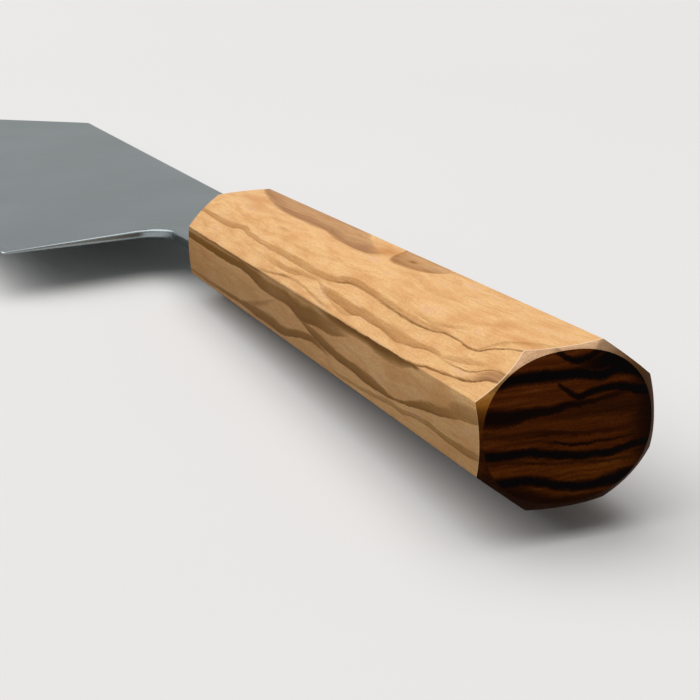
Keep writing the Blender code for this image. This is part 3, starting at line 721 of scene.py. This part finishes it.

# Bands on the end, and one of painted shade, in mm: from the left side y 12.5 to the right side, the height z
# of the middle of each
endBands = [
    {"name": "notch at the top", "path": [(12.5, 12), (3, 11.2), (1.4, 10.2), (0.4, 9.3), (-0.7, 8.8),
         (-2.5, 8.8), (-3.4, 9.2), (-4.5, 9.7), (-7, 10.6), (-12.5, 12)],
     "width": [(12.5, 0.65), (-0.7, 0.72), (-12.5, 0.91)],
     "strength": [(12.5, 0), (2.4, 0.2), (1.4, 0.9), (-1, 1), (-4.5, 0.95), (-12.5, 0.9)]},
    {"name": "black of the upper right", "path": [(-1, 8.2), (-4, 8), (-6, 8.4), (-8, 8), (-10, 6.6),
         (-12.5, 5.2)],
     "width": [(12.5, 1.04), (-2, 1.17), (-5, 1.82), (-8, 2.34), (-12.5, 2.08)],
     "strength": [(0.5, 0), (-2, 0.75), (-5, 1)]},
    # Painted shade: darkens the flat end towards its right side
    {"name": "painted shade to the right", "path": [(12.5, 0)],
     "width": [(12.5, 12)],
     "strength": [(-6.5, 0), (-9, 0.55), (-10.5, 0.85), (-12.5, 1)]},
    {"name": "upper band", "path": [(12.5, 6.6), (9.2, 7.2), (6.6, 7.5), (4.6, 7.4), (2.2, 7.25),
         (-0.5, 7.1), (-2.1, 6.9), (-4.3, 6.4), (-6.4, 6.9), (-7.7, 6.9), (-9.2, 6.4), (-10.4, 5.5),
         (-12.5, 4.2)],
     "width": [(12.5, 0.78), (9, 1.04), (5, 1.1), (0, 1.04), (-4, 1.04), (-7, 1.17), (-12.5, 1.56)],
     "strength": [(12.5, 0.9), (8, 1)]},
    {"name": "arc", "path": [(12.5, 8), (3, 7.2), (1.6, 6), (0.4, 5), (-0.6, 4.3), (-1.7, 4), (-2.6, 4.3),
         (-4.1, 4.5), (-5.9, 4.6), (-7.7, 4.4), (-9.1, 4), (-10.4, 3.7), (-12.5, 3.8)],
     "width": [(1, 0.52), (-1.7, 0.65), (-6, 0.78), (-9, 1.04), (-12.5, 1.69)],
     "strength": [(2.2, 0), (1.3, 0.9), (-12.5, 1)]},
    {"name": "middle band", "path": [(12.5, 3), (9.3, 2.7), (7.6, 2.6), (4.7, 2.8), (1.7, 2.8), (0.5, 3.1),
         (-2.8, 3.1), (-5.3, 3.4), (-8, 3.8), (-12.5, 4)],
     "width": [(12.5, 1.56), (9.3, 1.49), (6, 1.1), (3, 0.85), (0, 0.65), (-4, 0.52), (-12.5, 0.65)],
     "strength": [(0, 0.95), (-7, 0.8), (-12.5, 0.6)]},
    {"name": "shade under it", "path": [(12.5, 2), (4, 1.9), (0.5, 2), (-3.1, 2.1), (-8.6, 1.9),
         (-12.5, 1.8)],
     "width": [(12.5, 0.65), (0, 1.04), (-6, 1.56), (-12.5, 1.82)],
     "strength": [(12.5, 0), (4, 0.3), (0, 0.55), (-7, 0.6), (-12.5, 0.8)]},
    {"name": "thin line", "path": [(12.5, 0.8), (10.1, 0.5), (8.3, 0.1), (5.1, 0.1), (2.3, -0.3),
         (-0.4, -0.7), (-4.9, -0.9), (-12.5, -1.1)],
     "width": [(12.5, 0.52), (5, 0.59), (0, 0.39), (-12.5, 0.52)],
     "strength": [(12.5, 0.6), (7, 0.45), (3, 0.7), (-5, 0.5), (-12.5, 0.6)]},
    {"name": "thinner line", "path": [(12.5, -0.4), (5.2, -0.9), (2.3, -1.5), (0, -2.1), (-4, -2.2),
         (-12.5, -2)],
     "width": [(12.5, 0.26), (-12.5, 0.29)],
     "strength": [(12.5, 0), (4, 0.3), (1, 0.9), (-6, 0.8), (-12.5, 0.5)]},
    {"name": "lower band", "path": [(12.5, -1.8), (9.4, -2.2), (5.9, -2.4), (4.1, -2.7), (2.4, -3.1),
         (-0.3, -3.6), (-2.1, -3.8), (-4.9, -3.9), (-6.7, -3.8), (-8.2, -3.5), (-9.6, -3.3), (-12.5, -3.2)],
     "width": [(12.5, 0.98), (5, 0.85), (0, 0.85), (-6, 0.72), (-12.5, 0.91)],
     "strength": [(12.5, 1)]},
    {"name": "line below it", "path": [(12.5, -2.9), (9.5, -3.1), (5.9, -3.6), (2.4, -4.3), (-1.2, -4.6),
         (-4.9, -5), (-12.5, -4.9)],
     "width": [(12.5, 0.26), (-12.5, 0.33)],
     "strength": [(12.5, 0.4), (2, 0.6), (-12.5, 0.5)]},
    {"name": "bottom band", "path": [(12.5, -5.4), (9, -5.9), (6, -6), (4.2, -6.4), (2.4, -7.1),
         (0.6, -7.6), (-1.2, -7.8), (-4.8, -7.7), (-8, -7.2), (-12.5, -6.4)],
     "width": [(12.5, 1.3), (6, 1.04), (0, 0.91), (-6, 1.17), (-12.5, 1.56)],
     "strength": [(12.5, 1)]},
    {"name": "lowest band", "path": [(12.5, -7.6), (7.8, -8), (2.5, -9.7), (-3.9, -10.2), (-12.5, -9.4)],
     "width": [(12.5, 2.4), (5, 1.8)],
     "strength": [(12.5, 1), (3, 0.85), (-12.5, 1)]},
]


def streakCurves(tree, field, streak):
    # The streak's path, width and strength at each place along it, from 0 to 1, as three curves of one node
    def spread(value, ends):
        return (value - ends[0]) / (ends[1] - ends[0])

    along, across = field["ends"]
    widest = max(width for _, width in streak["width"])
    node = addNode(tree, "RGBCurve", {"Color": field["along"]}).node
    channels = (
        [(spread(x, along), spread(place, across)) for x, place in streak["path"]],
        [(spread(x, along), width / widest) for x, width in streak["width"]],
        [(spread(x, along), strength) for x, strength in streak["strength"]],
    )
    for curve, points in zip(node.mapping.curves, channels):
        points.sort()
        curve.points[0].location = (0.0, points[0][1])     # the first and last values hold to the ends
        curve.points[1].location = (1.0, points[-1][1])
        for x, value in points:
            if 0.0 < x < 1.0:
                curve.points.new(x, value)
    node.mapping.update()
    parts = addNode(tree, "SeparateColor", {"Color": node.outputs["Color"]}).node.outputs
    return parts["Red"], parts["Green"], parts["Blue"], widest


def streakMask(tree, field, streak, profile):
    # How much of three colours one streak gives to each point
    path, width, strength, widest = streakCurves(tree, field, streak)
    low, high = field["ends"][1]
    apart = addNode(tree, "Math", (field["across"], path), operation="SUBTRACT")
    unit = widest / (high - low) * streak.get("crisp", 1)
    reach = addNode(tree, "Math", (width, unit), operation="MULTIPLY")
    side = addNode(tree, "Math", (apart, reach), operation="DIVIDE")
    place = addNode(tree, "Math", (side, 0.5, 0.5), operation="MULTIPLY_ADD", use_clamp=True)
    first, second, edge = streak.get("shares", (1, 0, 0))
    shape = addNode(tree, "ValToRGB", (place,), stops=[
        (where, (band * first, band * second, line * edge, 1))
        for where, band, line in streak.get("profile", profile)
    ])
    return addNode(tree, "VectorMath", {0: shape, "Scale": strength}, operation="SCALE")


def strongest(tree, masks):
    # The most that any of the masks gives, for each of the three colours
    total = masks[0]
    for mask in masks[1:]:
        total = addNode(tree, "VectorMath", (total, mask), operation="MAXIMUM")
    return addNode(tree, "SeparateXYZ", (total,)).node.outputs


def layOver(tree, tone, shade, pattern, effect):
    # Lays a colour over the tone, with a share that grows with the pattern
    share = addNode(tree, "MapRange", (pattern, *effect))
    return addNode(tree, "Mix", {0: share, 6: tone, 7: shade}, 2, data_type="RGBA")


def woodNoise(tree, vector, name):
    # One of the patterns, drawn out along the grain
    width, length, detail, seed = patterns[name]
    stretched = addNode(tree, "Mapping", {
        "Vector": vector, "Location": (seed, seed * 0.37, 0), "Scale": (1 / length, 1 / width, 1 / width),
    })
    return addNode(tree, "TexNoise", {"Vector": stretched, "Scale": 1.0, "Detail": detail, "Roughness": 0.55})


def sideGrain(tree):
    # The figure on the long sides, with painted shade on the front of the left side, drawn on the map of the
    # handle's girth
    mapped = addNode(tree, "UVMap", uv_map="grain")
    inMm = addNode(tree, "VectorMath", (mapped, (grain["length"], grain["girth"], 1)), operation="MULTIPLY")
    split = addNode(tree, "SeparateXYZ", (mapped,)).node.outputs
    fibres = woodNoise(tree, inMm, "fibres")
    shifts = [
        addNode(tree, "MapRange", (noise, low, high, -most / grain["girth"], most / grain["girth"]))
        for noise, (low, high, most) in (
            (woodNoise(tree, inMm, "waver"), grain["waver"]), (fibres, grain["fray"]),
        )
    ]
    shift = addNode(tree, "Math", shifts, operation="ADD")
    field = {
        "along": split["X"],
        "across": addNode(tree, "Math", (split["Y"], shift), operation="ADD"),
        "ends": ((0, grain["length"]), (0, grain["girth"])),
    }
    figure = strongest(tree, [streakMask(tree, field, streak, softBand) for streak in streaks])
    patches = strongest(tree, [streakMask(tree, field, patch, rosyBand) for patch in rosyPatches])

    # The ground: clouds, and growth lines that follow the long line
    drift = addNode(tree, "MapRange", (woodNoise(tree, inMm, "drift"), *effects["drift"]))
    drifting = addNode(tree, "CombineXYZ", (drift, drift))
    moved = addNode(tree, "VectorMath", (inMm, drifting), operation="ADD")
    tone = addNode(tree, "ValToRGB", (woodNoise(tree, moved, "clouds"),), stops=[
        (where, colour(shade)) for where, shade in grain["ground"]
    ])
    path = streakCurves(tree, field, streaks[0])[0]
    pull = grain["pathShare"] * grain["girth"]
    beside = addNode(tree, "Math", (path, pull, drift), operation="MULTIPLY_ADD")
    sideways = addNode(tree, "CombineXYZ", {"Y": beside})
    following = addNode(tree, "VectorMath", (inMm, sideways), operation="ADD")
    growth = woodNoise(tree, following, "growth")
    tone = layOver(tree, tone, grain["tan"], growth, effects["growth"])

    # What lies on it: rosy heartwood, small clouds and the streaks
    uneven = addNode(tree, "MapRange", (growth, *effects["unevenRose"]))
    rosy = addNode(tree, "Math", (patches["X"], uneven), operation="MULTIPLY")
    tone = addNode(tree, "Mix", {0: rosy, 6: tone, 7: grain["rose"]}, 2, data_type="RGBA")
    for cloud in clouds:
        away = addNode(tree, "VectorMath", (inMm, (*cloud["at"], 0.0)), operation="SUBTRACT")
        scaled = addNode(tree, "VectorMath", (away, (*cloud["size"], 1.0)), operation="DIVIDE")
        distance = addNode(tree, "VectorMath", (scaled,), "Value", operation="LENGTH")
        ragged = addNode(tree, "Math", (growth, grain["cloudRagged"], distance), operation="MULTIPLY_ADD")
        fade = (*grain["cloudEdge"], cloud["strength"], 0.0)
        tone = layOver(tree, tone, grain[cloud["tone"]], ragged, fade)
    speckle = woodNoise(tree, inMm, "speckle")
    both = addNode(tree, "Math", (fibres, speckle), operation="ADD")
    slow = addNode(tree, "MapRange", (woodNoise(tree, inMm, "slow"), *effects["slow"]))
    patchy = addNode(tree, "Math", (
        addNode(tree, "MapRange", (both, *effects["patchy"])), slow,
    ), operation="MULTIPLY")
    full = addNode(tree, "MapRange", (both, *effects["full"]))
    comeAndGo = addNode(tree, "MapRange", (woodNoise(tree, inMm, "breaks"), *effects["breaks"]))
    for share, much, name in (
        (patches["Z"], comeAndGo, "bark"), (figure["X"], patchy, "tan"),
        (figure["Y"], full, "olive"), (figure["Z"], comeAndGo, "line"),
    ):
        held = addNode(tree, "Math", (share, much), operation="MULTIPLY")
        tone = addNode(tree, "Mix", {0: held, 6: tone, 7: grain[name]}, 2, data_type="RGBA")

    # Fibres and pores over everything
    tone = layOver(tree, tone, grain["tan"], fibres, effects["fibres"])
    tone = layOver(tree, tone, grain["tan"], speckle, effects["speckle"])
    tone = layOver(tree, tone, grain["olive"], woodNoise(tree, inMm, "pores"), effects["pores"])
    return tone, fibres


def paintedArrisHighlight(tree):
    # How near a point of the sides is to the edge where the butt's bevel cuts them, from 1 on it to 0: the
    # mask of the painted highlight along that edge
    halfWidth, halfHeight = (handle["butt" + way] / 2 - handle["buttRim"] for way in ("Width", "Height"))
    place = addNode(tree, "TexCoord", output="Object")
    middle = (handle["length"], -handle["buttShift"], -handle["buttShift"])
    fromEnd = addNode(tree, "VectorMath", (place, middle), operation="ADD")
    inOvals = addNode(tree, "VectorMath", (fromEnd, (1.0, halfWidth, halfHeight)), operation="DIVIDE")
    sizes = addNode(tree, "VectorMath", (inOvals,), operation="ABSOLUTE")
    parts = addNode(tree, "SeparateXYZ", (sizes,)).node.outputs
    power = handle["ovalPower"]
    powers = [addNode(tree, "Math", (parts[axis], power), operation="POWER") for axis in "YZ"]
    total = addNode(tree, "Math", powers, operation="ADD")
    oval = addNode(tree, "Math", (total, 1 / power), operation="POWER")
    depth = halfWidth * tan(radians(handle["bevelAngle"]))
    away = addNode(tree, "Math", (oval, -depth, parts["X"]), operation="MULTIPLY_ADD")
    near = addNode(tree, "MapRange", (away, -depth, -depth + grain["paintedHighlightWidth"] * mm, 1.0, 0.0))
    fade = addNode(tree, "MapRange", (parts["Z"], *grain["paintedHighlightFade"]))     # the painted highlight is weaker on the two upright sides
    return addNode(tree, "Math", (near, fade), operation="MULTIPLY")


# Oil finish on both woods: how the roughness changes with the pattern, and how strong the bump and shine are
oil = {"span": (0.3, 0.7), "change": 0.06, "bump": 0.5, "ior": 1.5, "shine": 0.03}


def woodShader(tree, tone, height, roughness, depth):
    # Oiled and finely sanded wood: a soft sheen with the grain just felt in it
    rough = addNode(tree, "MapRange", (
        height, *oil["span"], roughness - oil["change"], roughness + oil["change"],
    ))
    bump = addNode(tree, "Bump", {"Height": height, "Strength": oil["bump"], "Distance": depth * mm})
    return addNode(tree, "BsdfPrincipled", {
        "Base Color": tone, "Roughness": rough, "IOR": oil["ior"], "Specular IOR Level": oil["shine"],
        "Normal": bump,
    })


def sideWood():
    # Olive wood cut along the grain: a honey ground with tan and olive brown streaks, crisp on one side; a
    # painted highlight along the butt's bevel edge, and painted shade towards the front of the left side
    material, tree = newMaterial("oiled olive wood with painted light")
    tone, fibres = sideGrain(tree)
    # Painted highlight along the edge where the butt's bevel cuts the sides
    tone = addNode(tree, "Mix", {0: paintedArrisHighlight(tree), 6: tone, 7: grain["paintedHighlight"]}, 2, data_type="RGBA")
    shader = woodShader(tree, tone, fibres, grain["roughness"], grain["bumpDepth"])
    return finishMaterial(material, tree, shader)


def endWood():
    # Olive wood cut across the grain: it drinks the oil, so its flat end is amber and nearly black; painted
    # shade darkens the flat end's right side and the bevel towards its bottom and right
    material, tree = newMaterial("oiled olive end grain with painted shade")
    place = addNode(tree, "TexCoord", output="Object")
    inMm = addNode(tree, "VectorMath", {0: place, "Scale": 1 / mm}, operation="SCALE")
    parts = addNode(tree, "SeparateXYZ", (inMm,)).node.outputs
    wave = addNode(tree, "TexNoise", {"Vector": inMm, "Scale": endGrain["waversPerMm"], "Detail": 4.0})
    dots = addNode(tree, "TexNoise", {"Vector": inMm, "Scale": endGrain["dotsPerMm"], "Detail": 2.0})
    shifts = [
        addNode(tree, "MapRange", (noise, *endGrain[name]))
        for noise, name in ((wave, "waver"), (dots, "ragged"))
    ]
    ragged = addNode(tree, "Math", shifts, operation="ADD")
    height = addNode(tree, "Math", (parts["Z"], ragged), operation="ADD")
    field = {
        "along": addNode(tree, "MapRange", (parts["Y"], *endGrain["across"])),
        "across": addNode(tree, "MapRange", (height, *endGrain["height"])),
        "ends": (endGrain["across"], endGrain["height"]),
    }
    bands = strongest(tree, [streakMask(tree, field, band, thickBand) for band in endBands])["X"]
    layers = addNode(tree, "CombineXYZ", (parts["Y"], height, parts["X"]))
    lines = woodNoise(tree, layers, "endLines")
    fine = woodNoise(tree, layers, "endFibres")
    mixed = addNode(tree, "Math", (fine, endGrain["fineShare"], lines), operation="MULTIPLY_ADD")

    # The flat end, and the bevel that shows more of the sides' colour, with painted shade towards its bottom
    # and right
    shaded = addNode(tree, "MapRange", (mixed, *endGrain["mixedSpan"]))
    flatEnd = addNode(tree, "ValToRGB", (shaded,), stops=[
        (where, colour(shade)) for where, shade in endGrain["shades"]
    ])
    low, high = endGrain["height"]
    # The bevel's colour by height, with painted light at the top and painted shade towards the bottom
    bevel = addNode(tree, "ValToRGB", (field["across"],), stops=[
        ((z - low) / (high - low), colour(shade)) for z, shade in endGrain["bevel"]
    ])
    flatEnd = layOver(tree, flatEnd, endGrain["pore"], dots, endGrain["poreShare"])
    flatEnd = layOver(tree, flatEnd, endGrain["heart"], parts["Z"], endGrain["heartShare"])
    bevel = layOver(tree, bevel, endGrain["bevelLines"], mixed, endGrain["lineShare"])
    bevel = layOver(tree, bevel, endGrain["bevelDots"], dots, endGrain["dotShare"])
    # Painted shade: the bevel darkens towards the right side
    bevel = layOver(tree, bevel, endGrain["bevelPaintedShade"], parts["Y"], endGrain["paintedShadeShare"])
    facing = addNode(tree, "NewGeometry", output="True Normal")
    lengthways = addNode(tree, "SeparateXYZ", (facing,))
    square = addNode(tree, "Math", (lengthways,), operation="ABSOLUTE")
    flat = addNode(tree, "MapRange", (square, *endGrain["flatFrom"]))
    tone = addNode(tree, "Mix", {0: flat, 6: bevel, 7: flatEnd}, 2, data_type="RGBA")
    much = addNode(tree, "MapRange", (flat, 0.0, 1.0, endGrain["bandsOnBevel"], 1.0))
    share = addNode(tree, "Math", (bands, much), operation="MULTIPLY")
    tone = addNode(tree, "Mix", {0: share, 6: tone, 7: endGrain["dark"]}, 2, data_type="RGBA")
    shader = woodShader(tree, tone, dots, endGrain["roughness"], endGrain["bumpDepth"])
    return finishMaterial(material, tree, shader)


# Handle

# Lengths in mm, angles in degrees
handle = inMetres({
    "length": 125.0, "buttWidth": 25.0, "buttHeight": 21.3, "frontWidth": 20.7, "frontHeight": 18.1,
    "buttCornerWidth": 6.9, "buttCornerHeight": 5.7, "frontCornerWidth": 5.6, "frontCornerHeight": 4.9,
    "buttRim": 0.65, "buttShift": 0.3, "frontRim": 0.3, "frontShift": 0.0, "over": 1.0,
    "bevelAngle": 47, "ovalSides": 144,
    "ovalPower": 2.2,     # 2 is an ellipse, more is fuller at its corners
    "edgeEase": 0.12, "edgeSteps": 3, "edgeAngle": 20, "rimEase": 0.12, "rimSteps": 2, "rimAngle": 30,
    "sharpAngle": 18, "endShare": 0.3,     # how far a face has to look along the handle to be end grain
    "slotWidth": 14.2, "slotThickness": 4.2, "slotDepth": 89.1, "slotSteps": 16,
})


def octagonRing(x):
    # The section's corners, from the lower right edge round by the right side, top and left side
    share = -x / handle["length"]
    width = mix(handle["frontWidth"], handle["buttWidth"], share) / 2
    height = mix(handle["frontHeight"], handle["buttHeight"], share) / 2
    flatY = width - mix(handle["frontCornerWidth"], handle["buttCornerWidth"], share)
    flatZ = height - mix(handle["frontCornerHeight"], handle["buttCornerHeight"], share)
    half = [(-flatY, -height), (-width, -flatZ), (-width, flatZ), (-flatY, height)]
    return half + [(-y, -z) for y, z in half]


def prism(ends):
    # A solid between two outlines with as many points, each given by its x and its points
    bm = bmesh.new()
    rings = [[bm.verts.new((x, y, z)) for y, z in outline] for x, outline in ends]
    for ring in rings:
        bm.faces.new(ring)
    back, front = rings
    for i in range(len(back)):
        j = (i + 1) % len(back)
        bm.faces.new((back[i], back[j], front[j], front[i]))
    bmesh.ops.recalc_face_normals(bm, faces=bm.faces)
    return bm


def handleBlock():
    # The tapered octagon, a little too long at both ends
    return prism([(x, octagonRing(x)) for x in (-handle["length"] - handle["over"], handle["over"])])


def slotBlock():
    # The slot's shape with round ends, run along X
    radius = handle["slotThickness"] / 2
    outline = []
    for side in (1, -1):
        for i in range(handle["slotSteps"] + 1):
            angle = pi * i / handle["slotSteps"]
            y = side * (handle["slotWidth"] / 2 - radius + radius * sin(angle))
            outline.append((y, side * radius * cos(angle)))
    return prism([(x, outline) for x in (-handle["slotDepth"], handle["over"])])


def fullness(y, z):
    # How much further out the oval lies than a circle, in this direction
    away = hypot(y, z)
    power = handle["ovalPower"]
    return (abs(y / away) ** power + abs(z / away) ** power) ** (-1 / power)


def endCone(x, halfWidth, halfHeight, shift, inward):
    # Widens from the end's oval along the whole handle, to cut the bevel round that end
    depth = handle["length"] + 2 * handle["over"]
    growth = 1 + depth / tan(radians(handle["bevelAngle"])) / halfWidth
    bm = bmesh.new()
    bmesh.ops.create_cone(
        bm, cap_ends=True, segments=handle["ovalSides"], radius1=1.0, radius2=growth, depth=depth
    )
    bmesh.ops.translate(bm, verts=bm.verts, vec=(0, 0, depth / 2))
    for vert in bm.verts:
        vert.co.xy *= fullness(vert.co.x, vert.co.y)
    bmesh.ops.scale(bm, verts=bm.verts, vec=(halfHeight, halfWidth, 1.0))
    turn = Matrix.Rotation(inward * pi / 2, 4, "Y")
    bmesh.ops.transform(bm, matrix=Matrix.Translation((x, shift, shift)) @ turn, verts=bm.verts)
    bmesh.ops.recalc_face_normals(bm, faces=bm.faces)
    return bm


def girthShares():
    # Where each edge of the octagon lies round the handle, from 0 to 1, measured at the butt
    ring = octagonRing(-handle["length"])
    sides = [hypot(ring[(i + 1) % 8][0] - ring[i][0], ring[(i + 1) % 8][1] - ring[i][1]) for i in range(8)]
    total = sum(sides)
    return [sum(sides[:i]) / total for i in range(9)]


def facetAt(point, ring):
    # The facet of the octagon that lies outward of the point
    best, facet = float("-inf"), 0
    for i in range(8):
        start, end = Vector(ring[i]), Vector(ring[(i + 1) % 8])
        outward = Vector((end.y - start.y, start.x - end.x)).normalized()
        if outward.dot(start) < 0:
            outward = -outward
        height = (Vector((point.y, point.z)) - start).dot(outward)
        if height > best:
            best, facet = height, i
    return facet


def mapGrain(mesh):
    # Lays the grain map on the handle: along it from the butt, and round it from the lower right edge
    shares = girthShares()
    layer = mesh.uv_layers.new(name="grain")
    for face in mesh.polygons:
        side = facetAt(face.center, octagonRing(face.center.x))
        for loop in face.loop_indices:
            point = mesh.vertices[mesh.loops[loop].vertex_index].co
            corners = octagonRing(point.x)
            start, end = Vector(corners[side]), Vector(corners[(side + 1) % 8])
            span = end - start
            share = (Vector((point.y, point.z)) - start).dot(span) / span.length_squared
            layer.data[loop].uv = (
                (point.x + handle["length"]) / handle["length"],
                mix(shares[side], shares[side + 1], share),
            )


def easeEdges(piece, name):
    # Rounds the piece's edges, with the width, steps and least angle that go by this name
    ease = piece.modifiers.new(name, "BEVEL")
    ease.width = handle[name + "Ease"]
    ease.segments = handle[name + "Steps"]
    ease.limit_method = "ANGLE"
    ease.angle_limit = radians(handle[name + "Angle"])
    bakeModifiers(piece)


def makeHandle():
    piece = newPiece("oliveHandle", handleBlock(), [sideWood(), endWood()])
    easeEdges(piece, "edge")
    for end, x, inward in (("butt", -handle["length"], 1), ("front", 0.0, -1)):
        halfWidth = handle[end + "Width"] / 2 - handle[end + "Rim"]
        halfHeight = handle[end + "Height"] / 2 - handle[end + "Rim"]
        cutWith(piece, endCone(x, halfWidth, halfHeight, handle[end + "Shift"], inward), "INTERSECT")
    cutWith(piece, slotBlock(), "DIFFERENCE")
    easeEdges(piece, "rim")
    mesh = piece.data
    mapGrain(mesh)
    for face in mesh.polygons:
        face.material_index = 1 if abs(face.normal.x) > handle["endShare"] else 0
    mesh.shade_smooth()
    mesh.set_sharp_from_angle(angle=radians(handle["sharpAngle"]))
    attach(piece, "root")
    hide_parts("handle")


makeHandle()
print("handle done")


# Resin

resin = {"colour": "#2A1A10", "ior": 1.55, "roughness": (0.22, 0.38), "hazesPerMm": 0.9}


def makeResin():
    # Cured epoxy, dark and glossy, level with the slot's mouth
    material, tree = newMaterial("cured epoxy")
    place = addNode(tree, "TexCoord", output="Object")
    misty = addNode(tree, "TexNoise", {"Vector": place, "Scale": resin["hazesPerMm"] / mm, "Detail": 2.0})
    rough = addNode(tree, "MapRange", (misty, 0.0, 1.0, *resin["roughness"]))
    shader = addNode(tree, "BsdfPrincipled", {
        "Base Color": resin["colour"], "Roughness": rough, "IOR": resin["ior"],
    })
    finishMaterial(material, tree, shader)
    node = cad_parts["tang_bedding"]
    node.data.materials.clear()
    node.data.materials.append(material)


makeResin()
print("resin done")


# Floor, lamp and world

studio = {
    "paper": ("#E6E5E3", "#ECEBEA"),
    "floorBounce": "#3C3A37",     # what the floor gives back to the object, as a matt table would
    "floorSize": 6.0,             # metres, from the middle to each side
    "floorGap": 0.1,              # mm under the object
    "frontReach": 1.5,            # mm, how much of the handle's front is looked at for its lowest point
    "bladeReach": 20.0,           # mm in front of it, where the blade starts to be looked at
    "world": 0.21,                # what lights the object
    "surround": 0.45,             # what the camera and the steel see
    "lampFrom": (0.12, 0.31, 1.0),
    "lampDistance": 3.0,          # metres
    "lampSize": 5.6,
    "lampWatts": 160.0,
}


def restingPlane():
    # The table that the knife lies on: it touches the handle's lower front edge and the blade's tip
    handlePoints, bladePoints = (
        [vert.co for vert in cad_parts[name].data.vertices] for name in ("handle", "blade")
    )
    front = [point for point in handlePoints if point.x > handleHigh.x - studio["frontReach"] * mm]
    pivot = min(front, key=lambda point: point.z)
    slope = min(
        (point.z - pivot.z) / (point.x - pivot.x)
        for point in bladePoints if point.x > pivot.x + studio["bladeReach"] * mm
    )
    return pivot, slope


def makeFloor():
    # Pale matt paper: it takes the soft shadow and mirrors nothing
    material, tree = newMaterial("pale paper")
    bounced = addNode(tree, "LightPath", output="Is Diffuse Ray")
    fibre = addNode(tree, "TexNoise", {"Scale": 60.0, "Detail": 3.0})
    dark, light = studio["paper"]
    shown = addNode(tree, "Mix", {0: fibre, 6: dark, 7: light}, 2, data_type="RGBA")
    tone = addNode(tree, "Mix", {0: bounced, 6: shown, 7: studio["floorBounce"]}, 2, data_type="RGBA")
    finishMaterial(material, tree, addNode(tree, "BsdfDiffuse", {"Color": tone}))
    bm = bmesh.new()
    bmesh.ops.create_grid(bm, x_segments=1, y_segments=1, size=studio["floorSize"])
    floor = newPiece("floor", bm, [material])
    pivot, slope = restingPlane()
    floor.rotation_euler = (0.0, -atan2(slope, 1.0), 0.0)
    floor.location = (pivot.x, 0.0, pivot.z - studio["floorGap"] * mm)


def makeLight():
    # One large soft lamp over the knife, and a world that is dimmer on the object than to the eye
    data = bpy.data.lights.new("softbox", "AREA")
    data.shape = "SQUARE"
    data.size = studio["lampSize"]
    data.energy = studio["lampWatts"]
    lamp = newObject("softbox", data)
    away = Vector(studio["lampFrom"]).normalized()
    lamp.location = frontPoint + away * studio["lampDistance"]
    lamp.rotation_mode = "QUATERNION"
    lamp.rotation_quaternion = away.to_track_quat("Z", "Y")
    world = bpy.data.worlds.new("studio")
    world.use_nodes = True
    tree = world.node_tree
    path = addNode(tree, "LightPath").node.outputs
    seen = path["Is Camera Ray"]
    for kind in ("Is Glossy Ray", "Is Transmission Ray"):
        seen = addNode(tree, "Math", (seen, path[kind]), operation="MAXIMUM")
    strength = addNode(tree, "MapRange", (seen, 0.0, 1.0, studio["world"], studio["surround"]))
    sky = tree.nodes["Background"]
    sky.inputs["Color"].default_value = (1.0, 1.0, 1.0, 1.0)
    tree.links.new(strength, sky.inputs["Strength"])
    bpy.context.scene.world = world


makeFloor()
makeLight()
bpy.context.scene.view_settings.view_transform = "Standard"
print("studio done")
